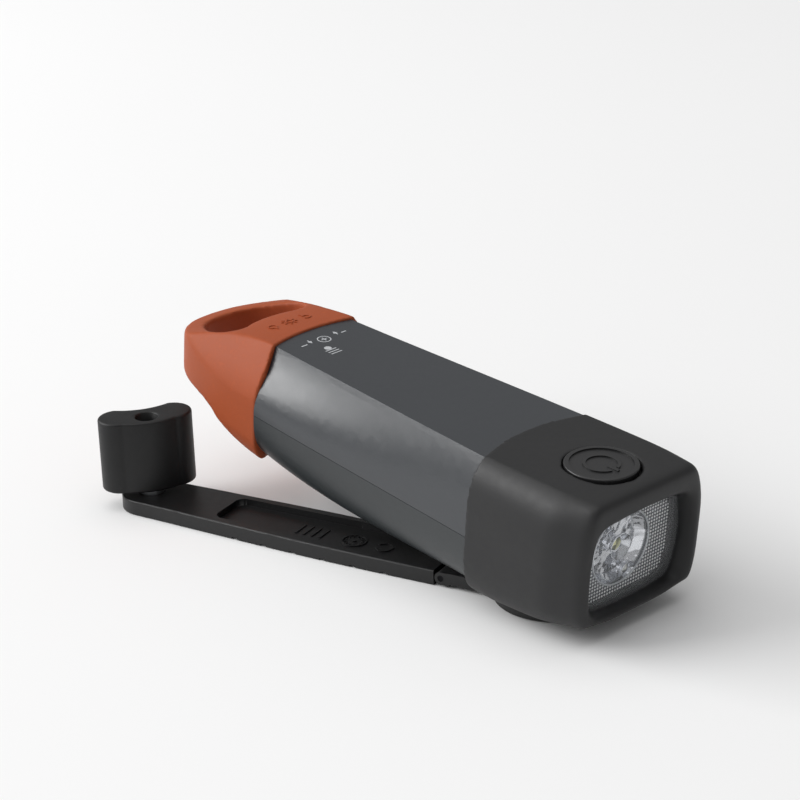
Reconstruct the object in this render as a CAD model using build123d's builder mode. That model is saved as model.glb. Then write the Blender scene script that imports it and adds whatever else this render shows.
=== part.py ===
from build123d import *
import math
import os

# Hand crank flashlight.  Millimetres.  +Z up from the surface that it lies on,
# +X towards the lens, origin where the crank's axis meets that surface.

# ---------------------------------------------------------------- driving sizes
torch_pitch = 7.0            # the torch's axis leans nose down, tail up
seam_to_crank = 6.5          # crank axis, ahead of the seam behind the head
crease_height = 40.2         # top facet at that seam, above the surface
wall = 1.9                   # wall of every housing shell
joint_gap = 0.12             # gap between housing pieces
seat_gap = 0.05              # gap between pieces that are fixed together
running_gap = 0.06           # radial clearance of every shaft in its bore

head_length = 37.0           # from the seam to the lip round the lens
battery_length = 48.0
battery_front = -22.0        # torch frame, behind the generator
port_room = 9.0              # from the battery to the rear seam
body_length = battery_length - battery_front + port_room
seam_bulge = 3.2             # both seams bow towards the tail on the top facet
seam_bow_half_width = 17.0
tail_length = 43.5           # orange tail cap
spigot_length = 5.0          # body's tongue inside the head
plug_length = 3.2            # tail cap's plug inside the body
plug_gap = 0.5
plug_wall = 1.5
tail_half_width = 20.9
loop_inset = 18.3            # finger loop's front edge, behind the seam
loop_wall = 5.9              # behind the loop, at the tip
hole_half_width = 14.6
hole_neck = 9.0              # half width of its bowed front edge
hole_kink = 2.2              # how far that edge bows to the tail
cap_room_depth = 13.0        # hollow of the cap behind the charging ports
cap_room_z = -17.2
cap_room_half_width = 14.0
cap_room_height = 15.5
cap_room_corner = 5.0
shell_seam_z = -20.5         # side seam of the two body shells, torch frame

arm_thickness = 3.9
sweep_gap = 0.4              # free height between the crank and the underside
arm_angle = 16.5             # the arm lies swung this far off the torch's axis
hub_radius = 16.0
hub_cover_thickness = 0.9
hinge_reach = 27.6           # hinge pin from the crank's axis
hinge_pin_radius = 0.8
knuckle_radius = 1.7
knuckle_gap = 0.3
middle_knuckle_half_width = 3.1
arm_end_half_width = 9.2     # arm at the hinge
arm_mid_half_width = 9.6
arm_neck_half_width = 8.6
arm_tip_radius = 8.0
channel_depth = 1.8
rim_width = 2.2
channel_start = 36.0
channel_end = 97.0
channel_corner = 2.5
groove_count = 6
groove_pitch = 9.0
groove_depth = 0.4
groove_width = 1.6

knob_reach = 121.0           # knob's axle from the crank's axis
knob_height = 20.0
knob_lift = 1.4              # knob's foot above the arm's top face
knob_direction = 63.6        # its long side at rest, from +X
knob_length = 25.5
knob_depth = 10.6
knob_bow = 2.6               # how far its ends bend out of line
knob_hole_radius = 3.0
knob_hole_depth = 9.0
knob_axle_radius = 2.0
knob_screw_radius = 1.0
knob_screw_head_radius = 2.6
knob_screw_height = 1.6
knob_collar_radius = 3.4
knob_edge_radius = 0.8
axle_foot = 0.8              # knob axle's lower end, above the arm's underside
hub_screw_radius = 1.1
hub_screw_head_radius = 2.6
hub_screw_head_height = 1.0
shaft_foot = 2.5
clip_radius = 4.2
clip_groove_radius = 1.9
clip_thickness = 0.6
drive_boss_radius = 4.4

shaft_radius = 2.5
bush_radius = 4.2
bush_flange_radius = 5.4
bush_flange_thickness = 0.6
gear_module = 0.5
drive_teeth = 40
idler_small_teeth = 12
idler_large_teeth = 30
rotor_teeth = 10
gear_thickness = 2.2
gear_step = 0.4              # free height between gear layers
gear_backlash = 0.25         # taken off each tooth's width
idler_direction = 225.0      # idler's axle from the crank's axis, from +X
rotor_direction = 140.0      # rotor from the idler's axle, from +X
small_axle_radius = 0.9
small_bush_radius = 1.8
frame_thickness = 1.2
plate_height = 13.0          # underside of the gearbox plate, above the surface
plate_margin = 2.6
low_gear = 7.8               # foot of the drive gear, above the surface
post_radius = 1.6
post_reach = 8.9             # two front posts, ahead of and beside the crank's axis
rear_post = (-26.5, 6.0)
rear_post_foot = 9.0
gear_screw_radius = 0.8
gear_screw_head_radius = 1.5
gear_screw_head_height = 0.9
gear_screw_bite = 1.0
boss_radius = 2.2
idler_boss_height = 0.9
rotor_boss_top = 9.8
rotor_pivot_depth = 1.3
rotor_foot = 14.8
rotor_radius = 6.4
rotor_height = 7.0
stator_gap = 0.5
stator_thickness = 3.4
stator_height = 5.0
yoke_width = 1.2
tooth_width = 2.2
tooth_recess = 1.0
coil_count = 6
coil_width = 4.6

battery_radius = 9.15
battery_z = -14.7            # torch frame
contact_thickness = 0.6
board_thickness = 1.2
board_top = -30.0            # torch frame
board_half_width = 11.0
board_front = -24.0
board_rear_gap = 5.1         # from the rear seam
board_post_radius = 2.0
board_post_inset = (3.9, 3.0)  # from the board's rear and front end
board_post_y = 7.0
contact_size = (10.0, 16.0)
cradle_inset = (6.0, 10.0)   # from the battery's front and rear end
cradle_half_width = 8.0
port_mouth_gap = 3.4         # ports open this far ahead of the rear seam
port_plate_gap = 3.5
port_plate_thickness = 1.5
usb_out_size = (13.5, 13.2, 5.6)
usb_out_side = 4.4
usb_in_size = (5.6, 7.6, 2.9)
usb_in_side = -7.0
port_wall = 0.5
column_radius = 2.8
column_y = 14.8
column_rear_gap = 13.0       # from the rear seam
column_front = -30.0         # torch frame
screw_radius = 1.1
screw_head_radius = 2.0
screw_head_height = 1.6
screw_sink = 5.0
screw_bite = 6.5             # into the upper shell's columns

lens_centre_z = -16.9        # torch frame
lens_depth = 4.0             # lens face behind the lip
lens_thickness = 2.0
aperture_half_width = 16.0
aperture_half_height = 12.3
lip_half_width = 18.4
lip_half_height = 13.2
lens_margin = 0.8            # lens hidden behind the bezel, all round
lens_side_bow = 2.3
lens_top_bow = 1.0
lens_corner = 3.2
gasket_width = 0.9
gasket_thickness = 0.8
reflector_depth = 3.2
reflector_rim = 1.2
reflector_wall = 0.8
bowl_radius = 10.3
window_place = (-1.0, -16.6)  # centre of the bowl, across and up, torch frame
led_board_radius = 10.4
main_led_place = (0.0, 0.3)   # across and up, from the bowl's centre
main_led_size = 2.2
main_led_height = 1.2
side_led_place = (3.5, -7.4)
side_led_size = 1.4
side_led_height = 2.6
cup_wall = 0.25
sink_ear_height = 6.0
sink_thickness = 2.4

button_x = 21.5              # torch frame
button_radius = 9.1
button_gap = 0.35
button_height = 3.6
button_flange = 0.9
button_flange_height = 0.8
button_travel = 0.8
dish_depth = 0.35
mark_radius = 4.6
mark_width = 0.8
switch_x = 19.4
switch_size = (6.0, 6.0, 1.2)
switch_plunger_radius = 1.7
switch_plunger_height = 0.3
switch_board_depth = -6.4    # its top, below the button's face
switch_board_thickness = 1.0
switch_board_front = 1.0     # from the button's centre
switch_board_rear = -14.0
switch_board_half_width = 8.0
switch_post_radius = 1.6
switch_post_place = (-12.2, 5.0)
button_pad_radius = 3.2

# ---------------------------------------------------------------- frames
pitch = math.radians(torch_pitch)
torch_x = Vector(math.cos(pitch), 0, -math.sin(pitch))
torch_z = Vector(math.sin(pitch), 0, math.cos(pitch))
torch_origin = Vector(-seam_to_crank, 0, crease_height)
underside = arm_thickness + sweep_gap
floor_inside = underside + wall
swing = math.radians(arm_angle)
arm_dir = Vector(-math.cos(swing), -math.sin(swing), 0)
arm_plane = Plane(origin=(0, 0, 0), x_dir=arm_dir, z_dir=(0, 0, 1))
hinge_height = arm_thickness - knuckle_radius - 0.1
head_rise = 0.05             # slope of the head's top facet
reach_far = 80.0             # past the outside of everything
lens_face_x = head_length - lens_depth
lens_back_x = lens_face_x - lens_thickness
bowl_front_x = lens_back_x - gasket_thickness
bowl_back_x = bowl_front_x - reflector_depth
led_board_x = bowl_back_x - board_thickness
sink_x = led_board_x - sink_thickness
head_wall = wall + 0.3
shell_foot_z = -36.2
seam_rear, seam_front = -body_length, 0.0
tail_tip = -body_length - tail_length
hole_front = seam_rear - loop_inset
hole_rear = tail_tip + loop_wall
cap_room_rear = seam_rear - cap_room_depth
board_rear = seam_rear + board_rear_gap
board_post_stations = (board_rear + board_post_inset[0], board_front - board_post_inset[1])
cradle_front = battery_front - cradle_inset[0]
cradle_rear = battery_front - battery_length + cradle_inset[1]
port_mouth = seam_rear + port_mouth_gap
port_plate_rear = seam_rear + port_plate_gap
column_stations = (seam_rear + column_rear_gap, column_front)
high_gear = low_gear + gear_thickness + gear_step
plate_top = plate_height + frame_thickness
stator_outer = rotor_radius + stator_gap + stator_thickness
lower_boss_top = floor_inside + 0.5
frame_posts = ((post_reach, post_reach, floor_inside), (post_reach, -post_reach, floor_inside),
               (*rear_post, rear_post_foot))
led_seats = ((main_led_place, main_led_size, 2.0), (side_led_place, side_led_size, 2.6))


def polar(start, distance, direction):
    """Point at a distance and direction from another, seen from above."""
    turn = math.radians(direction)
    return (start[0] + distance * math.cos(turn), start[1] + distance * math.sin(turn))


idler_place = polar((0, 0), gear_module * (drive_teeth + idler_small_teeth) / 2, idler_direction)
rotor_place = polar(idler_place, gear_module * (idler_large_teeth + rotor_teeth) / 2, rotor_direction)


def at(x, y, z):
    """A point given in the torch's own frame."""
    return torch_origin + torch_x * x + Vector(0, y, 0) + torch_z * z


def station(x, z=0.0):
    """Cross plane of the torch: sketch x runs across, sketch y up."""
    return Plane(origin=at(x, 0, z), x_dir=(0, 1, 0), z_dir=torch_x)


def torch_level(z, x=0.0, y=0.0):
    """Plane along the torch at height z: sketch x runs to the lens."""
    return Plane(origin=at(x, y, z), x_dir=torch_x, z_dir=torch_z)


def light_plane(x):
    """Cross plane of the torch, centred on the bowl."""
    return Plane(origin=at(x, *window_place), x_dir=(0, 1, 0), z_dir=torch_x)


def level(z):
    return Plane.XY.offset(z)


# ---------------------------------------------------------------- section lists
# station, half width and height of the top facet, half width and height of
# the widest line, half width and height of the flat underside
body_stations = (
    (seam_rear - 5.0, (13.0, -3.7), (21.2, -19.5), (14.0, -33.6)),
    (seam_rear + 17.0, (14.1, -2.8), (21.5, -20.0), (15.0, -36.0)),
    (-28.0, (15.9, -1.3), (21.7, -20.5), (15.5, -36.2)),
    (6.0, (17.5, 0.2), (21.9, -20.5), (15.5, -35.4)),
)
head_stations = (
    (-6.0, (16.9, 0.2), (22.4, -20.0), (16.5, -36.6)),
    (12.0, (17.3, 1.1), (22.9, -19.0), (17.0, -36.2)),
    (28.0, (17.2, 1.9), (23.2, -18.0), (17.0, -34.4)),
    (head_length, (16.9, 2.1), (23.1, -17.6), (16.8, -33.4)),
)
body_crease = (0.42, -0.9)
head_crease = (0.86, -0.5)
foot_run = (-0.93, -0.37)


def section(x, top, side, foot, inset, crease):
    """Flat top, bowed sides and flat foot, drawn in by inset all round."""
    top_w, top_z = top[0] - 0.75 * inset, top[1] - inset
    side_w, side_z = side[0] - inset, side[1]
    foot_w, foot_z = foot[0] - 0.5 * inset, foot[1] + inset
    with BuildSketch(station(x)) as sketch:
        with BuildLine():
            Line((-top_w, top_z), (top_w, top_z))
            right = Spline(
                (top_w, top_z), (side_w, side_z), (foot_w, foot_z),
                tangents=[crease, (0, -1), foot_run],
            )
            Line((foot_w, foot_z), (-foot_w, foot_z))
            mirror(right, about=Plane.YZ)
        make_face()
    return sketch.sketch


def form(stations, crease, inset=0.0):
    """Solid lofted through the stations."""
    faces = [section(x, top, side, foot, inset, crease) for x, top, side, foot in stations]
    with BuildPart(mode=Mode.PRIVATE) as solid:
        loft(faces)
    return solid.part


def plan_region(rear, front):
    """Everything between two bowed seams, seen from above the torch."""
    half = seam_bow_half_width
    with BuildPart(mode=Mode.PRIVATE) as region:
        with BuildSketch(torch_level(-reach_far)):
            with BuildLine():
                Line((rear, -reach_far), (rear, -half))
                ThreePointArc((rear, -half), (rear - seam_bulge, 0), (rear, half))
                Line((rear, half), (rear, reach_far))
                Line((rear, reach_far), (front, reach_far))
                Line((front, reach_far), (front, half))
                ThreePointArc((front, half), (front - seam_bulge, 0), (front, -half))
                Line((front, -half), (front, -reach_far))
                Line((front, -reach_far), (rear, -reach_far))
            make_face()
        extrude(amount=2 * reach_far)
    return region.part


def below(height):
    """Everything under a level plane."""
    with BuildPart(mode=Mode.PRIVATE) as block:
        with BuildSketch(level(height - reach_far)):
            Rectangle(4 * reach_far, 4 * reach_far)
        extrude(amount=reach_far)
    return block.part


def lens_outline(x, half_w, half_h):
    """Barrel shaped outline of the lens and of everything that follows it."""
    side = half_w - lens_side_bow
    top = half_h - lens_top_bow
    with BuildSketch(station(x, lens_centre_z)) as sketch:
        with BuildLine():
            ThreePointArc((-side, top), (0, half_h), (side, top))
            ThreePointArc((side, top), (half_w, 0), (side, -top))
            ThreePointArc((side, -top), (0, -half_h), (-side, -top))
            ThreePointArc((-side, -top), (-half_w, 0), (-side, top))
        make_face()
        fillet(sketch.vertices(), radius=lens_corner)
    return sketch.sketch


def gear(plane, teeth, turned):
    """Spur gear blank with trapezoid teeth, one tooth at the angle turned."""
    pitch_r = gear_module * teeth / 2
    root_r, tip_r = pitch_r - 1.1 * gear_module, pitch_r + 0.75 * gear_module
    half = (math.pi * gear_module / 2 - gear_backlash) / 2
    root_half = half + 0.35 * gear_module
    tip_half = half - 0.28 * gear_module
    points = []
    for tooth in range(teeth):
        centre = math.radians(turned + 360.0 * tooth / teeth)
        for radius, across in ((root_r, -root_half), (tip_r, -tip_half),
                               (tip_r, tip_half), (root_r, root_half)):
            angle = centre + across / radius
            points.append((radius * math.cos(angle), radius * math.sin(angle)))
    with BuildSketch(plane) as sketch:
        with BuildLine():
            Polyline(*points, close=True)
        make_face()
    return sketch.sketch


def write(piece, name):
    piece.part.label = name
    export_step(piece.part, f"parts/{name}.step")


os.makedirs("parts", exist_ok=True)
head_region = plan_region(seam_front + joint_gap / 2, head_length + 10)
body_region = plan_region(seam_rear + joint_gap / 2, seam_front - joint_gap / 2)
body_outer = form(body_stations, body_crease)
body_inner = form(body_stations, body_crease, wall)
head_outer = form(head_stations, head_crease)
head_inner = form(head_stations, head_crease, head_wall)

# ---------------------------------------------------------------- head shell
button_z = 0.9 + head_rise * button_x
button_tilt = math.degrees(math.atan(head_rise))
button_plane = torch_level(button_z, button_x).rotated((0, -button_tilt, 0))
flange_radius = button_radius + button_gap + button_flange
shell_hole = button_radius + button_gap


def round_bar(plane, radius, height):
    """Plain round solid, used as a cutter or as a boss."""
    with BuildPart(mode=Mode.PRIVATE) as bar:
        with BuildSketch(plane):
            Circle(radius)
        extrude(amount=height)
    return bar.part


with BuildPart() as head_cavity:
    add(head_inner)
    add(below(floor_inside), mode=Mode.SUBTRACT)
    with BuildSketch(station(lens_back_x - gasket_thickness - 0.4)):
        Rectangle(2 * reach_far, 2 * reach_far)
    extrude(amount=reach_far, mode=Mode.SUBTRACT)

with BuildPart() as head_shell:
    add(head_outer)
    add(head_region, mode=Mode.INTERSECT)
    add(below(underside), mode=Mode.SUBTRACT)
    lip = faces().filter_by(Plane(origin=at(head_length, 0, 0), z_dir=torch_x)).sort_by(Axis.X)[-1]
    chamfer(lip.edges(), length=1.2)
    add(head_cavity.part, mode=Mode.SUBTRACT)
    # pocket that takes the lens from behind, and the bezel in front of it
    pocket = lens_outline(bowl_front_x - 0.5, aperture_half_width + lens_margin + seat_gap,
                          aperture_half_height + lens_margin + seat_gap)
    extrude(pocket, amount=lens_face_x - bowl_front_x + 0.5, dir=torch_x, mode=Mode.SUBTRACT)
    loft([lens_outline(lens_face_x - 0.01, aperture_half_width, aperture_half_height),
          lens_outline(head_length + 0.1, lip_half_width, lip_half_height)], mode=Mode.SUBTRACT)
    for side in (-1, 1):
        post = Plane(origin=button_plane.from_local_coords((switch_post_place[0],
                                                            side * switch_post_place[1], 0)),
                     x_dir=button_plane.x_dir, z_dir=button_plane.z_dir)
        add(round_bar(post.offset(switch_board_depth + seat_gap), switch_post_radius,
                      -switch_board_depth - 1.5))
    add(round_bar(button_plane.offset(-6), shell_hole, 12), mode=Mode.SUBTRACT)
    add(round_bar(button_plane.offset(-button_height - button_travel - 0.1), flange_radius + 0.3,
                  button_travel + button_flange_height + 0.2), mode=Mode.SUBTRACT)
    add(round_bar(level(floor_inside - 0.1), bush_radius + 2, lower_boss_top - floor_inside + 0.1))
    add(round_bar(level(0), bush_radius + seat_gap, 12), mode=Mode.SUBTRACT)
    add(round_bar(Plane(origin=(*idler_place, floor_inside - 0.1)), boss_radius, idler_boss_height + 0.1))
    add(round_bar(Plane(origin=(*idler_place, floor_inside)), small_axle_radius + seat_gap, 5),
        mode=Mode.SUBTRACT)
    for x, y, foot in frame_posts[:2]:
        add(round_bar(Plane(origin=(x, y, foot - gear_screw_bite - 0.1)),
                      gear_screw_radius + seat_gap, 5), mode=Mode.SUBTRACT)
write(head_shell, "head_shell")

# ---------------------------------------------------------------- body shells
body_cut = form(body_stations, body_crease, wall)
spigot_inset = head_wall + joint_gap + 0.5
spigot_outer = form(body_stations, body_crease, spigot_inset)
spigot_inner = form(body_stations, body_crease, spigot_inset + 1.2)
with BuildPart() as body_case:
    add(body_outer)
    add(body_region, mode=Mode.INTERSECT)
    add(below(underside), mode=Mode.SUBTRACT)
    add(body_cut, mode=Mode.SUBTRACT)
with BuildPart() as gear_well:
    add(round_bar(level(0), gear_module * drive_teeth / 2 + 2.0, plate_height))
    add(round_bar(Plane(origin=(*idler_place, 0)), gear_module * idler_large_teeth / 2 + 1.6, plate_height))
with BuildPart() as spigot:
    add(spigot_outer)
    add(spigot_inner, mode=Mode.SUBTRACT)
    add(plan_region(-8.0, seam_front + spigot_length), mode=Mode.INTERSECT)
    add(below(floor_inside + joint_gap), mode=Mode.SUBTRACT)
    add(gear_well.part, mode=Mode.SUBTRACT)
with BuildPart() as spigot_root:
    add(form(body_stations, body_crease, wall - 0.2))
    add(form(body_stations, body_crease, spigot_inset + 1.2), mode=Mode.SUBTRACT)
    add(plan_region(-11.0, seam_front - 1.0), mode=Mode.INTERSECT)
    add(below(underside + 0.4), mode=Mode.SUBTRACT)
    add(gear_well.part, mode=Mode.SUBTRACT)


def half_space(z_from, z_to):
    with BuildPart(mode=Mode.PRIVATE) as slab:
        with BuildSketch(torch_level(z_from)):
            Rectangle(4 * reach_far, 4 * reach_far)
        extrude(amount=z_to - z_from)
    return slab.part


column_places = [(x, y) for x in column_stations for y in (-column_y, column_y)]
upper_zone = half_space(shell_seam_z + joint_gap / 2, reach_far)
lower_zone = half_space(-reach_far, shell_seam_z - joint_gap / 2)

with BuildPart() as upper_shell:
    add(body_case.part)
    add(spigot.part)
    add(spigot_root.part)
    for x, y in column_places:
        add(round_bar(torch_level(shell_seam_z, x, y), column_radius, 40))
    add(body_outer, mode=Mode.INTERSECT)
    add(upper_zone, mode=Mode.INTERSECT)
    for x, y in column_places:
        add(round_bar(torch_level(shell_seam_z - 1, x, y), screw_radius + seat_gap, 8), mode=Mode.SUBTRACT)
write(upper_shell, "upper_shell")

with BuildPart() as lower_shell:
    add(body_case.part)
    add(spigot.part)
    add(spigot_root.part)
    for x, y in column_places:
        add(round_bar(torch_level(-40, x, y), column_radius, 40))
    for x in board_post_stations:
        for y in (-board_post_y, board_post_y):
            add(round_bar(torch_level(-40, x, y), board_post_radius,
                          40 + board_top - board_thickness - seat_gap))
    add(round_bar(Plane(origin=(*rotor_place, underside)), boss_radius, rotor_boss_top - underside))
    add(round_bar(Plane(origin=(*rear_post, underside)), boss_radius, rear_post_foot - underside))
    add(body_outer, mode=Mode.INTERSECT)
    add(body_region, mode=Mode.INTERSECT)
    add(spigot.part)
    add(below(underside), mode=Mode.SUBTRACT)
    add(lower_zone, mode=Mode.INTERSECT)
    for x, y in column_places:
        add(round_bar(torch_level(-50, x, y), screw_radius + seat_gap, 50), mode=Mode.SUBTRACT)
        add(round_bar(torch_level(-50, x, y), screw_head_radius + 0.2,
                      50 + shell_foot_z + screw_sink + screw_head_height), mode=Mode.SUBTRACT)
    add(round_bar(Plane(origin=(*rotor_place, rotor_boss_top - rotor_pivot_depth - 0.1)),
                  small_axle_radius + running_gap, 5), mode=Mode.SUBTRACT)
    add(round_bar(Plane(origin=(*rear_post, rear_post_foot - gear_screw_bite - 0.1)),
                  gear_screw_radius + seat_gap, 5), mode=Mode.SUBTRACT)
write(lower_shell, "lower_shell")

# ---------------------------------------------------------------- tail cap
cap_region = plan_region(tail_tip - 20, seam_rear - joint_gap / 2)
# side view: top and bottom line of the cap, torch x and z
cap_neck = seam_rear + 4.0   # the cap's outline starts here, inside the body
cap_top = [(cap_neck, -2.5), (seam_rear - 11.0, -4.1), (seam_rear - 19.5, -6.0),
           (seam_rear - 33.0, -10.6), (tail_tip - 1, -14.2)]
cap_foot = [(tail_tip - 1, -21.5), (seam_rear - 31.0, -23.6), (seam_rear - 21.5, -25.2),
            (seam_rear - 11.0, -31.2), (cap_neck, -35.4)]

with BuildPart() as plug:
    add(form(body_stations, body_crease, wall + plug_gap))
    add(form(body_stations, body_crease, wall + plug_gap + plug_wall), mode=Mode.SUBTRACT)
    add(plan_region(seam_rear - 3.0, seam_rear + plug_length), mode=Mode.INTERSECT)

with BuildPart() as tail_cap:
    with BuildSketch(torch_level(-reach_far)):
        with BuildLine():
            Line((cap_neck, -tail_half_width), (cap_neck, tail_half_width))
            cap_side = Spline((cap_neck, tail_half_width), (tail_tip + 26.5, tail_half_width - 0.3),
                              (tail_tip + 7.8, 15.4), (tail_tip, 0),
                              tangents=[(-1, 0), (-1, -0.08), (-0.76, -0.65), (0, -1)])
            mirror(cap_side, about=Plane.XZ)
        make_face()
    extrude(amount=2 * reach_far)
    with BuildSketch(Plane(origin=at(0, reach_far, 0), x_dir=torch_x, z_dir=(0, -1, 0))):
        with BuildLine():
            Spline(cap_top, tangents=[(-1, -0.05), (-0.93, -0.3)])
            Line(cap_top[-1], cap_foot[0])
            Spline(cap_foot, tangents=[(1, -0.12), (1, -0.12)])
            Line(cap_foot[-1], cap_top[0])
        make_face()
    extrude(amount=2 * reach_far, mode=Mode.INTERSECT)
    # prism of the body's rear section, drawn in a little towards the loop
    loft([section(cap_neck, (13.5, -1.0), (21.3, -19.5), (15.0, -37.0), 0, (0.5, -0.86)),
          section(tail_tip - 2, (8.0, -1.0), (21.3, -18.5), (15.0, -32.0), 0, (0.72, -0.7))],
         mode=Mode.INTERSECT)
    add(cap_region, mode=Mode.INTERSECT)
    with BuildSketch(torch_level(-reach_far)):
        with BuildLine():
            ThreePointArc((hole_front, -hole_neck), (hole_front - hole_kink, 0), (hole_front, hole_neck))
            hole_side = Spline((hole_front, hole_neck), (hole_front - 5.0, hole_half_width),
                               (hole_front - 12.0, hole_half_width - 2.4), (hole_rear, 0),
                               tangents=[(0, 1), (-1, 0.12), (-0.85, -0.5), (0, -1)])
            mirror(hole_side, about=Plane.XZ)
        make_face()
    extrude(amount=2 * reach_far, mode=Mode.SUBTRACT)
    # room behind the charging ports
    with BuildSketch(station(cap_room_rear, cap_room_z)):
        RectangleRounded(2 * cap_room_half_width, cap_room_height, cap_room_corner)
    extrude(amount=cap_neck - cap_room_rear + 5, mode=Mode.SUBTRACT)
    add(plug.part)
write(tail_cap, "tail_cap")

# ---------------------------------------------------------------- lens and light
lens_w = aperture_half_width + lens_margin
lens_h = aperture_half_height + lens_margin
with BuildPart() as lens:
    extrude(lens_outline(lens_back_x, lens_w, lens_h), amount=lens_thickness, dir=torch_x)
write(lens, "lens")

with BuildPart() as lens_gasket:
    extrude(lens_outline(bowl_front_x + seat_gap, lens_w, lens_h),
            amount=gasket_thickness - 2 * seat_gap, dir=torch_x)
    extrude(lens_outline(bowl_front_x, lens_w - gasket_width, lens_h - gasket_width),
            amount=gasket_thickness, dir=torch_x, mode=Mode.SUBTRACT)
write(lens_gasket, "lens_gasket")

with BuildPart() as reflector:
    extrude(lens_outline(bowl_front_x - reflector_rim, lens_w - 0.1, lens_h - 0.1),
            amount=reflector_rim, dir=torch_x)
    with BuildSketch(light_plane(bowl_back_x)):
        Circle(bowl_radius + reflector_wall)
    extrude(amount=reflector_depth)
    # bowl, with a low cup round the main light
    with BuildSketch(light_plane(bowl_back_x + reflector_wall)):
        Circle(bowl_radius - 2.4)
    with BuildSketch(light_plane(bowl_back_x + 0.5 * (reflector_wall + reflector_depth))):
        Circle(bowl_radius - 0.9)
    with BuildSketch(light_plane(bowl_front_x)):
        Circle(bowl_radius)
    loft(mode=Mode.SUBTRACT)
    for place, size, rise in led_seats:
        with BuildSketch(light_plane(bowl_back_x)):
            with Locations(place):
                Circle(0.5 * size * math.sqrt(2) + 2 * cup_wall)
        extrude(amount=rise)
        with BuildSketch(light_plane(bowl_back_x)):
            with Locations(place):
                Circle(0.5 * size * math.sqrt(2) + cup_wall)
        extrude(amount=reflector_depth, mode=Mode.SUBTRACT)
write(reflector, "reflector")

with BuildPart() as led_board:
    with BuildSketch(light_plane(led_board_x)):
        Circle(led_board_radius)
    extrude(amount=board_thickness - seat_gap)
write(led_board, "led_board")


def light_emitter(place, size, height):
    """Square package with a round dome, on the board behind the bowl."""
    with BuildPart() as chip:
        with BuildSketch(light_plane(bowl_back_x)):
            with Locations(place):
                Rectangle(size, size)
        extrude(amount=height)
        with BuildSketch(light_plane(bowl_back_x + height)):
            with Locations(place):
                Circle(0.4 * size)
        extrude(amount=0.2 * size, taper=30)
    return chip


main_led = light_emitter(main_led_place, main_led_size, main_led_height)
write(main_led, "main_led")
side_led = light_emitter(side_led_place, side_led_size, side_led_height)
write(side_led, "side_led")

with BuildPart() as heat_sink:
    with BuildSketch(light_plane(sink_x)):
        Circle(led_board_radius + 0.6)
        Rectangle(2 * reach_far, sink_ear_height)
    extrude(amount=sink_thickness - seat_gap)
    add(form(head_stations, head_crease, head_wall + 3 * seat_gap), mode=Mode.INTERSECT)
write(heat_sink, "heat_sink")

# ---------------------------------------------------------------- button and switch
with BuildPart() as power_button:
    add(round_bar(button_plane.offset(-button_height), button_radius, button_height))
    add(round_bar(button_plane.offset(-button_height), button_radius + button_gap + button_flange,
                  button_flange_height))
    rim_edge = edges().filter_by(GeomType.CIRCLE).sort_by(Axis.Z)[-1]
    fillet(rim_edge, radius=0.4)
    # shallow dish with a raised ring and bar in it
    with BuildSketch(button_plane.offset(-dish_depth)):
        Circle(button_radius - 1.3)
    extrude(amount=1, mode=Mode.SUBTRACT)
    with BuildSketch(button_plane.offset(-dish_depth)):
        Circle(mark_radius)
        Circle(mark_radius - mark_width, mode=Mode.SUBTRACT)
        with Locations((mark_radius - 0.5 * mark_width, 0)):
            Rectangle(2.4, 2.2, mode=Mode.SUBTRACT)
        with Locations((mark_radius - 0.9, 0)):
            Rectangle(3.4, mark_width)
    extrude(amount=dish_depth - 0.05)
write(power_button, "power_button")

pressed_foot = -button_height - button_travel
switch_plane = Plane(origin=button_plane.from_local_coords((switch_x - button_x, 0, 0)),
                     x_dir=button_plane.x_dir, z_dir=button_plane.z_dir)
with BuildPart() as switch_board:
    with BuildSketch(button_plane.offset(switch_board_depth - switch_board_thickness)):
        with Locations((0.5 * (switch_board_front + switch_board_rear), 0)):
            Rectangle(switch_board_front - switch_board_rear, 2 * switch_board_half_width)
    extrude(amount=switch_board_thickness)
write(switch_board, "switch_board")

with BuildPart() as power_switch:
    with BuildSketch(switch_plane.offset(switch_board_depth + seat_gap)):
        RectangleRounded(switch_size[0], switch_size[1], 0.4)
    extrude(amount=switch_size[2])
    with BuildSketch(switch_plane.offset(switch_board_depth + seat_gap + switch_size[2])):
        Circle(switch_plunger_radius)
    extrude(amount=switch_plunger_height)
write(power_switch, "power_switch")

pad_foot = switch_board_depth + seat_gap + switch_size[2] + switch_plunger_height + seat_gap
with BuildPart() as button_pad:
    add(round_bar(switch_plane.offset(pad_foot), button_pad_radius, pressed_foot - 0.1 - pad_foot))
write(button_pad, "button_pad")

# ---------------------------------------------------------------- gearbox
frame_foot = floor_inside + seat_gap
with BuildPart() as gearbox_frame:
    with BuildSketch(level(plate_height)):
        with BuildLine():
            CenterArc((0, 0), plate_margin + bush_radius, 0, 360)
            CenterArc(idler_place, plate_margin + small_axle_radius, 0, 360)
            CenterArc(rotor_place, stator_outer, 0, 360)
            for x, y, foot in frame_posts:
                CenterArc((x, y), post_radius, 0, 360)
        make_hull()
    extrude(amount=frame_thickness)
    for x, y, foot in frame_posts:
        add(round_bar(Plane(origin=(x, y, foot + seat_gap)), post_radius, plate_height - foot))
    add(round_bar(level(0), bush_radius + seat_gap, 30), mode=Mode.SUBTRACT)
    for place, radius in ((idler_place, small_axle_radius), (rotor_place, small_bush_radius)):
        add(round_bar(Plane(origin=(*place, 0)), radius + seat_gap, 30), mode=Mode.SUBTRACT)
    for x, y, foot in frame_posts:
        add(round_bar(Plane(origin=(x, y, 0)), gear_screw_radius + seat_gap, 30), mode=Mode.SUBTRACT)
write(gearbox_frame, "gearbox_frame")

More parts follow.
